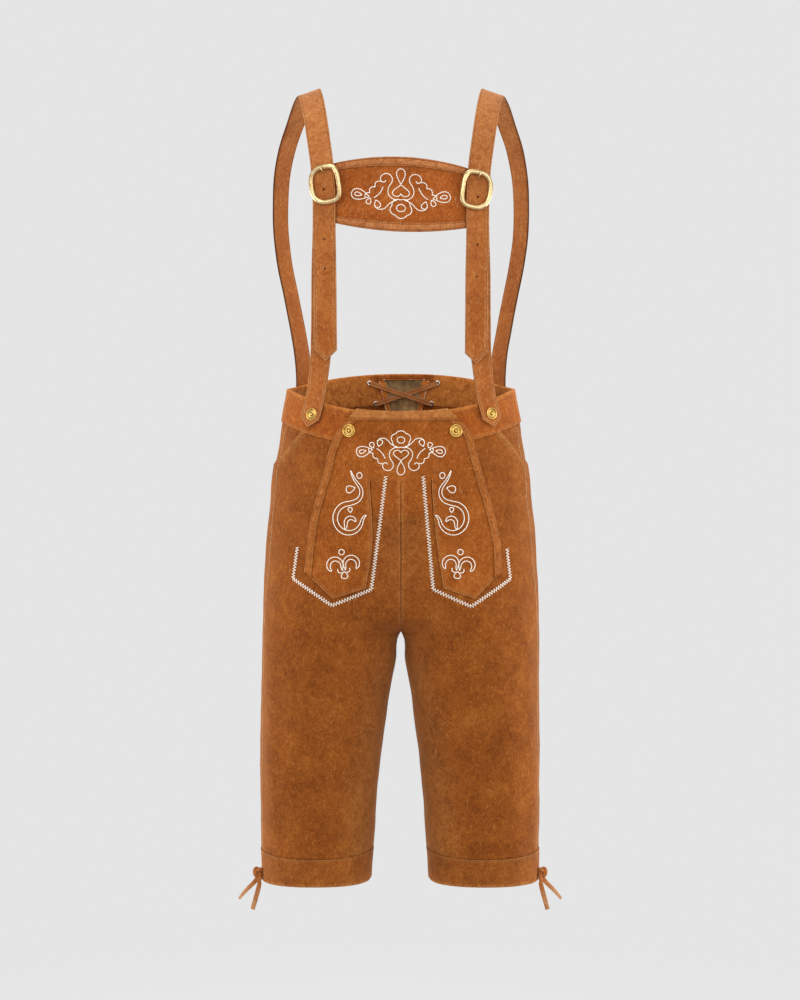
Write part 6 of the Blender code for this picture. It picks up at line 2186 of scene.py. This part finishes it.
# %% Each step as a point that keeps its run and its look
ends = add_node(sewing, "GeometryNodeInputMeshEdgeVertices").outputs
run = add_node(sewing, "ShaderNodeVectorMath", {
    0: ends["Position 2"], 1: ends["Position 1"],
}, operation="SUBTRACT")
with_run = add_node(sewing, "GeometryNodeStoreNamedAttribute", {
    "Geometry": chain, "Name": "run", "Value": run,
}, data_type="FLOAT_VECTOR", domain="EDGE")
with_out = add_node(sewing, "GeometryNodeStoreNamedAttribute", {
    "Geometry": with_run, "Name": "look", "Value": out,
}, data_type="FLOAT_VECTOR", domain="EDGE")
spots = add_node(sewing, "GeometryNodeMeshToPoints", {"Mesh": with_out}, mode="EDGES")
kept_run = add_node(sewing, "GeometryNodeInputNamedAttribute", {"Name": "run"}, data_type="FLOAT_VECTOR")
kept_look = add_node(sewing, "GeometryNodeInputNamedAttribute", {"Name": "look"}, data_type="FLOAT_VECTOR")
print("nodes with the points:", len(sewing.nodes))

# %% A spindle of thread, turned along its step and slanted
along = add_node(sewing, "FunctionNodeAlignRotationToVector", {"Vector": kept_run}, axis="X")
upright = add_node(sewing, "FunctionNodeAlignRotationToVector", {
    "Rotation": along, "Vector": kept_look,
}, axis="Z", pivot_axis="X")
slanted = add_node(sewing, "FunctionNodeAxisAngleToRotation", {
    "Axis": (0.0, 0.0, 1.0), "Angle": given["Slant"],
})
facing = add_node(sewing, "FunctionNodeRotateRotation", {
    "Rotation": upright, "Rotate By": slanted,
}, rotation_space="LOCAL")
reach = add_node(sewing, "ShaderNodeVectorMath", {0: kept_run}, operation="LENGTH").outputs["Value"]
filled = add_node(sewing, "ShaderNodeMath", {0: reach, 1: given["Fill"]}, operation="MULTIPLY")
half = add_node(sewing, "ShaderNodeMath", {0: filled, 1: 0.5}, operation="MULTIPLY")
size = add_node(sewing, "ShaderNodeCombineXYZ", {"X": half, "Y": given["Radius"], "Z": given["Radius"]})
spindle = add_node(sewing, "GeometryNodeMeshUVSphere", {
    "Segments": STITCH_SEGMENTS, "Rings": STITCH_RINGS, "Radius": 1.0,
}).outputs
mapped = add_node(sewing, "GeometryNodeStoreNamedAttribute", {
    "Geometry": spindle["Mesh"], "Name": "strand", "Value": spindle["UV Map"],
}, data_type="FLOAT2", domain="CORNER")
lying = add_node(sewing, "GeometryNodeTransform", {"Geometry": mapped, "Rotation": (0.0, math.pi / 2, 0.0)})
stitches = add_node(sewing, "GeometryNodeInstanceOnPoints", {
    "Points": spots, "Instance": lying, "Rotation": facing, "Scale": size,
})
real = add_node(sewing, "GeometryNodeRealizeInstances", {"Geometry": stitches})
threaded = add_node(sewing, "GeometryNodeSetMaterial", {"Geometry": real, "Material": given["Thread"]})
add_node(sewing, "NodeGroupOutput", {"Stitches": threaded})
print("sewing tree, nodes:", len(sewing.nodes))


# %% Sewing a piece
def sew(name, lines, stitch, thread):
    """Sews lines, each given as points and the way the leather looks there, with one thread."""
    points, looks = (np.concatenate(values) for values in zip(*lines))
    edges, first = [], 0
    for line_points, _ in lines:
        edges += [(place, place + 1) for place in range(first, first + len(line_points) - 1)]
        first += len(line_points)
    guide = bpy.data.meshes.new(name)
    guide.from_pydata(points.tolist(), edges, [])
    store(guide, "out", "FLOAT_VECTOR", "vector", looks)
    carrier = into_scene(name, guide)
    needle = carrier.modifiers.new("needle", "NODES")
    needle.node_group = sewing
    sockets = [item for item in sewing.interface.items_tree if item.in_out == "INPUT"][1:]
    for socket, value in zip(sockets, (*stitch, thread)):
        needle[socket.identifier] = value
    mesh = bpy.data.meshes.new_from_object(carrier.evaluated_get(bpy.context.evaluated_depsgraph_get()))
    bpy.data.objects.remove(carrier)
    for attribute in [item.name for item in mesh.attributes if item.name in ("run", "look", "out")]:
        mesh.attributes.remove(mesh.attributes[attribute])
    mesh.shade_smooth()
    add_piece(name, mesh, "gusset_cloth")
    print(f"{name}: {len(mesh.polygons) // (STITCH_SEGMENTS * STITCH_RINGS)} stitches")


# %% [markdown]
# The edge stitching is a tone on tone lockstitch, about 3 mm long.  It lies in the grooves that
# the seam tables press into the leather.

# %% Edge stitching of bands, flap, chest bar, pockets and braces
TAN_STITCH = Stitch(0.0033, 0.0, 0.74, 0.0, 0.00044, 0.00026)
GROOVE = -0.00050
EDGE_DISTANCE = STITCHED_EDGE[3].distance
# The roll's seam lies further from the band's top, by the length of leather in the roll.
ROLL_DISTANCE = ROLLED_EDGE[3].distance + 0.0014
LACED_START = 0.018


def row_line(side, base, start, end, lift):
    """A line along a row of the body, between two angles."""
    angles = np.linspace(start, end, 150)
    return surface(side, row_height(base, angles), angles, lift)


def band_lines():
    """Two seams on each waistband, and the seam on top of each hem band, in a front and a back half."""
    lines = []
    for side in SIDES.values():
        for face in ("front", "back"):
            for base in (WAIST_HEIGHT - ROLL_DISTANCE, WAIST_SEAM + EDGE_DISTANCE):
                start = inner_angle(base, face) + (LACED_START if face == "back" else 0.0)
                lines.append(row_line(side, base, start, SIDE_SEAM_ANGLE, WAIST_FOLD.outside + GROOVE))
        for start in (math.pi, -math.pi):
            base = HEM_BAND_TOP - EDGE_DISTANCE
            lines.append(row_line(side, base, start, SIDE_SEAM_ANGLE, HEM_FOLD.outside + GROOVE))
    return lines


def flap_line(x, height, lift=0.0):
    """A line in a groove on the flap, or on a strip that lies over it by lift."""
    return front_surface(x, height, flap_top(x, height) + lift + GROOVE)


def flap_lines():
    """Both seams of the side strips, the lobes' lower and inner edges, and the binding's seam."""
    lines = []
    bottom = -1 - list(distances(STITCHED_EDGE)).index(EDGE_DISTANCE)
    first = len(HIDDEN_EDGE) + 1
    for side_name, side in SIDES.items():
        height = np.linspace(BINDING_END - 0.0015, LOBE_CORNER - 0.0015, 90)
        for seam in (STRIP_EDGES[3], STRIP_EDGES[7]):
            x = flap_outer[side_name](height) - seam.distance * edge_slant(side_name, height)
            lines.append(flap_line(side * x, height, TRIM_LIFT))
        x, height, _ = lobe_grid(side_name)
        lines.append(flap_line(side * x[bottom, first:bottom + 1], height[bottom, first:bottom + 1]))
        lines.append(flap_line(side * x[UPPER_ROWS:bottom, bottom], height[UPPER_ROWS:bottom, bottom]))
    left, right = (read(FLAP_TOP - 0.008) - 0.004 for read in flap_outer.values())
    x = np.linspace(-right, left, 80)
    lines.append(flap_line(x, np.full_like(x, BINDING_END + EDGE_DISTANCE), TRIM_LIFT))
    return lines


def chest_lines():
    """Both seams of the upper and of the lower border strip."""
    x = np.linspace(-CHEST_BORDER_REACH + 0.001, CHEST_BORDER_REACH - 0.001, 80)
    seams = (BORDER_EDGES[3].distance, BORDER_EDGES[7].distance)
    return [chest_surface(x, drop, CHEST_BORDER_FACE + GROOVE)
            for seam in seams for drop in (seam, CHEST_SPAN - seam)]


def pocket_lines():
    """Both seams of the strip at each pocket's mouth."""
    share = np.linspace(0.01, 0.97, 40)
    return [mouth_place(side, share, seam.distance, seam.lift)
            for side in SIDES.values() for seam in (MOUTH_EDGE[3], MOUTH_EDGE[7])]


def strap_lines(strap):
    """A seam down both sides of a strap, round its point and across its end."""
    total = read_straps[strap.name][1]
    edge_line = strap.width / 2 - EDGE_DISTANCE
    start = EDGE_DISTANCE * strap_slant(strap)
    along = np.linspace(start, total + strap.reach - EDGE_DISTANCE, 400)
    across = np.linspace(-edge_line, edge_line, 25)
    routes = [
        (along - strap.reach - strap_shift(strap, along, edge), edge) for edge in (-edge_line, edge_line)]
    routes.append((start - strap.reach - strap_shift(strap, 0.0, across), across))
    routes.append((total - EDGE_DISTANCE, across))
    return [read_strap(strap, *route, STRAP_THICKNESS + GROOVE) for route in routes]


sew("stitching_bands", band_lines(), TAN_STITCH, tan_thread)
sew("stitching_flap", flap_lines() + pocket_lines(), TAN_STITCH, tan_thread)
sew("stitching_chest_bar", chest_lines(), TAN_STITCH, tan_thread)
for side_name in SIDES:
    lines = strap_lines(shoulder_straps[side_name]) + strap_lines(lower_straps[side_name])
    sew(f"stitching_braces_{side_name}", lines, TAN_STITCH, tan_thread)

# %% Stitching beside the side seams and the inseams, and the gusset's quilting
PALE_STITCH = Stitch(0.0030, 0.0, 0.80, 0.0, 0.00036, 0.00020)
QUILT_STITCH = Stitch(0.0045, 0.0, 0.55, 0.0, 0.00045, 0.00010)
EDGE_STITCH = Stitch(0.0030, 0.0, 0.75, 0.0, 0.00060, 0.00030)
SEAM_DISTANCE = 0.0030
# Near a corner of the ring, a turn by one radian goes this many half widths round.
CORNER_RATE = 0.62
SEAM_END = HEM_BAND_TOP + 0.0020
INSEAM_TOP = -0.7400
# The quilting leaves out the first rows, and the narrow point of the V.
QUILTED_ROWS = slice(4, 48)
GUSSET_EDGE_LENGTH = 0.0900
TACKS = (-0.0290, 0.0080, 0.0270)
TACK = np.array((0.0, 0.0015, 0.0030))


def lines_beside(seam_angle, way, top, count):
    """A line on each leg at a small distance from a long seam, on the way given by 1 or -1."""
    base = np.linspace(top, SEAM_END, count)
    angle = seam_angle + way * SEAM_DISTANCE / ring(base)[1] / CORNER_RATE
    lift = seam_lift(JOINED_EDGE, SEAM_DISTANCE)
    return [surface(side, row_height(base, angle), angle, lift) for side in SIDES.values()]


def gusset_line(x, height, lift):
    """A line on the inner face of the gusset."""
    points, looks = back_surface(x, height, lift)
    return points, -looks


quilt_lift = -GUSSET_INSET - GUSSET_THICKNESS - 0.0004
quilting = [
    gusset_line(x[QUILTED_ROWS, 0], height[QUILTED_ROWS, 0], quilt_lift) for x, height in gusset_channels]
height = np.linspace(GUSSET_TOP - EDGING_DROP, GUSSET_TOP - GUSSET_EDGE_LENGTH, 60)
x = gusset_half_width(height) + GUSSET_OVERLAP / 2
gusset_edges = [gusset_line(side * x, height, EDGING_INSIDE + 0.0016) for side in SIDES.values()]
for x in TACKS:
    places = x + TACK
    gusset_edges.append(gusset_line(places, waist_line(places, -1) - EDGING_DROP + 0.0010, EDGING_INSIDE))
side_seams = lines_beside(SIDE_SEAM_ANGLE, 1, WAIST_SEAM - 0.003, 260)
sew("stitching_side_seams", side_seams, PALE_STITCH, pale_thread)
sew("stitching_inseams", lines_beside(math.pi, -1, INSEAM_TOP, 200), TAN_STITCH, tan_thread)
sew("quilting_gusset", quilting, QUILT_STITCH, tan_thread)
sew("edge_stitching_gusset", gusset_edges, EDGE_STITCH, white_cotton)

# %% [markdown]
# ## White embroidery
#
# A heavy white cotton thread is couched in outline: a zigzag frames the lobes, and the flap and
# the chest bar carry hearts, leaves, rings, rosettes and scrolls, the old stock of Alpine leather
# work.  They are drawn here from simple lines in millimetres.  A leaf that follows a line gives
# the scrolls and crescents their two outlines.

# %% Ornament lines, in millimetres
WHITE_STITCH = Stitch(0.0027, 0.0, 1.20, 0.16, 0.00072, 0.00045)
ZIGZAG_STITCH = Stitch(0.0019, 0.0028, 1.02, 0.0, 0.00052, 0.00055)
MM = 0.001
CURVE_STEP = 0.5


def arcs(x, y, heading, steps):
    """A line of arcs, each given by its radius and the angle it turns, to the left if positive."""
    points = [np.array((x, y))]
    heading = math.radians(heading)
    for radius, degrees in steps:
        turn = math.radians(degrees)
        count = max(3, int(abs(radius * turn) / CURVE_STEP))
        towards = radius * math.copysign(1.0, turn)
        centre = points[-1] + towards * np.array((-math.sin(heading), math.cos(heading)))
        for share in np.linspace(0.0, 1.0, count + 1)[1:]:
            now = heading + turn * share
            points.append(centre - towards * np.array((-math.sin(now), math.cos(now))))
        heading += turn
    return np.array(points)


def ribbon(line, width, swell):
    """The outline of a leaf that follows a line, pointed at both ends and widest at the share swell."""
    run = run_along(line)
    share = (run / run[-1]) ** (math.log(0.5) / math.log(swell))
    ways = unit(np.gradient(line, axis=0))
    off = np.stack([-ways[:, 1], ways[:, 0]], axis=1) * (width / 2 * np.sin(np.pi * share) ** 0.45)[:, None]
    return np.concatenate([line + off, (line - off)[::-1]])


def drop_leaf(x, y, length, width, degrees):
    """A leaf that is pointed where it grows and round at its end."""
    turns = np.linspace(0.0, 2 * math.pi, 37)
    along = length * (1 - np.cos(turns)) / 2
    across = width / 1.3 * np.sin(turns) * np.abs(np.sin(turns / 2)) ** 1.2
    cosine, sine = math.cos(math.radians(degrees)), math.sin(math.radians(degrees))
    return np.stack([x + along * cosine - across * sine, y + along * sine + across * cosine], axis=1)


def oval(x, y, width, height):
    """A ring."""
    turns = np.linspace(0.0, 2 * math.pi, 33)
    return np.stack([x + width / 2 * np.cos(turns), y + height / 2 * np.sin(turns)], axis=1)


def rosette(x, y, width, height, petals):
    """A flower with round petals, the first of which points up."""
    turns = np.linspace(0.0, 2 * math.pi, 20 * petals + 1)
    reach = 0.84 + 0.16 * np.abs(np.cos(petals * (turns - math.pi / 2) / 2)) ** 0.8
    return np.stack([x + width / 2 * reach * np.cos(turns), y + height / 2 * reach * np.sin(turns)], axis=1)


def heart(x, y, width, height):
    """A heart by its usual formula, 29 units high."""
    turns = np.linspace(0.0, 2 * math.pi, 49)
    rise = 13 * np.cos(turns) - 5 * np.cos(2 * turns) - 2 * np.cos(3 * turns) - np.cos(4 * turns)
    return np.stack([x + width / 2 * np.sin(turns) ** 3, y + height / 29 * rise], axis=1)


def both_ways(lines):
    """Lines and their mirror images."""
    return lines + [line * (-1, 1) for line in lines]


BOUQUET = [
    rosette(0, 17.5, 26, 23, 5),
    oval(0, 17, 10.5, 8.5),
    heart(0, -2.2, 20, 14.5),
    drop_leaf(0, -10.5, 18, 9, -90),
] + both_ways([
    arcs(4.0, 7.2, 10, ((9.5, -105), (13, -38), (7.2, 205), (4.2, 110), (2.2, 95))),
    arcs(4.5, 8.0, 12, ((20, 42), (9.0, -75), (5.0, -62))),
    arcs(23.6, -13.4, -30, ((4.4, 150), (0.5, -146), (4.4, 148), (0.5, -142), (4.0, 138))),
    arcs(20.6, -7.4, 74, ((22.0, -46),)),
    drop_leaf(36.8, 4.8, 21, 12.0, -12),
    drop_leaf(45.0, 3.0, 9.0, 4.4, -12),
    drop_leaf(35.6, 6.4, 8.0, 5.5, 66),
    drop_leaf(29.0, 8.5, 9.5, 6.5, 108),
])
SCROLL = [
    ribbon(arcs(2, 43, -75, ((40, 22), (400, 1.2), (13, -108), (60, -12), (19, 250), (12, -52))), 6.4, 0.58),
    ribbon(arcs(8.5, -24.0, 106, ((7.2, 176), (7.0, -60))), 4.8, 0.45),
    oval(14.0, 36.5, 7.6, 8.2),
    drop_leaf(8.0, 20.5, 13.0, 8.4, -166),
    drop_leaf(1.2, -12.0, 7.0, 5.6, 96),
]
CRESCENTS = both_ways([
    ribbon(arcs(1.8, -8.5, 80, ((14, 22), (8.4, -218), (5.5, -40))), 5.0, 0.58),
    arcs(2.6, -10.8, -32, ((3.4, 160),)),
]) + [oval(0, 14.6, 7.2, 7.0), drop_leaf(0, -9.6, 9.0, 7.5, -90)]
print("ornament lines:", len(BOUQUET), len(SCROLL), len(CRESCENTS))


# %% Embroidery laid on the flap, the panels and the chest bar
CHEST_BOUQUET_DROP = 0.49 * CHEST_SPAN
ZIGZAG_STEPS = 60
# Below this height the zigzag runs on the panels beside the lobes, not on the flap's middle.
ZIGZAG_ON_FLAP = -0.6110


def placed_lines(lines, x, height, size=1.0, mirror=1, lean=0.0, flat=1.0):
    """Ornament lines moved to a place on the body, in metres."""
    cosine, sine = math.cos(lean), math.sin(lean)
    moved = []
    for line in lines:
        right, up = (line * (mirror * flat, 1) * size * MM).T
        moved.append((x + right * cosine - up * sine, height + right * sine + up * cosine))
    return moved


flap_ornament = placed_lines(BOUQUET, 0.0, -0.4862)
for way in (-1, 1):
    flap_ornament += placed_lines(SCROLL, way * 0.0665, -0.5520, mirror=-way, flat=0.92)
for way in (-1, 1):
    flap_ornament += placed_lines(CRESCENTS, way * 0.0755, -0.6310, lean=-way * 0.12, size=1.05)
flap_embroidery = [front_surface(x, height, flap_top(x, height)) for x, height in flap_ornament]
sew("embroidery_flap", flap_embroidery, WHITE_STITCH, white_cotton)

chest_ornament = placed_lines(BOUQUET, 0.0, CHEST_BOUQUET_DROP, size=1.12)
chest_embroidery = [chest_surface(x, drop, 0.0) for x, drop in chest_ornament]
sew("embroidery_chest_bar", chest_embroidery, WHITE_STITCH, white_cotton)

ZIGZAG = {
    "right": ((0.0195, -0.5160), (0.0387, -0.6651), (0.0906, -0.6860), (0.1417, -0.6517), (0.1363, -0.6101)),
    "left": ((0.0289, -0.5160), (0.0424, -0.6651), (0.0923, -0.6873), (0.1441, -0.6523), (0.1400, -0.6121)),
}
zigzag = []
for side_name, side in SIDES.items():
    corners = np.array(ZIGZAG[side_name])
    for start, end in zip(corners, corners[1:]):
        x, height = np.linspace(start, end, ZIGZAG_STEPS).T
        lift = np.maximum(middle_lift(side * x, height), 0.0) * (height > ZIGZAG_ON_FLAP)
        zigzag.append(front_surface(side * x, height, lift))
sew("embroidery_zigzag", zigzag, ZIGZAG_STITCH, white_cotton)
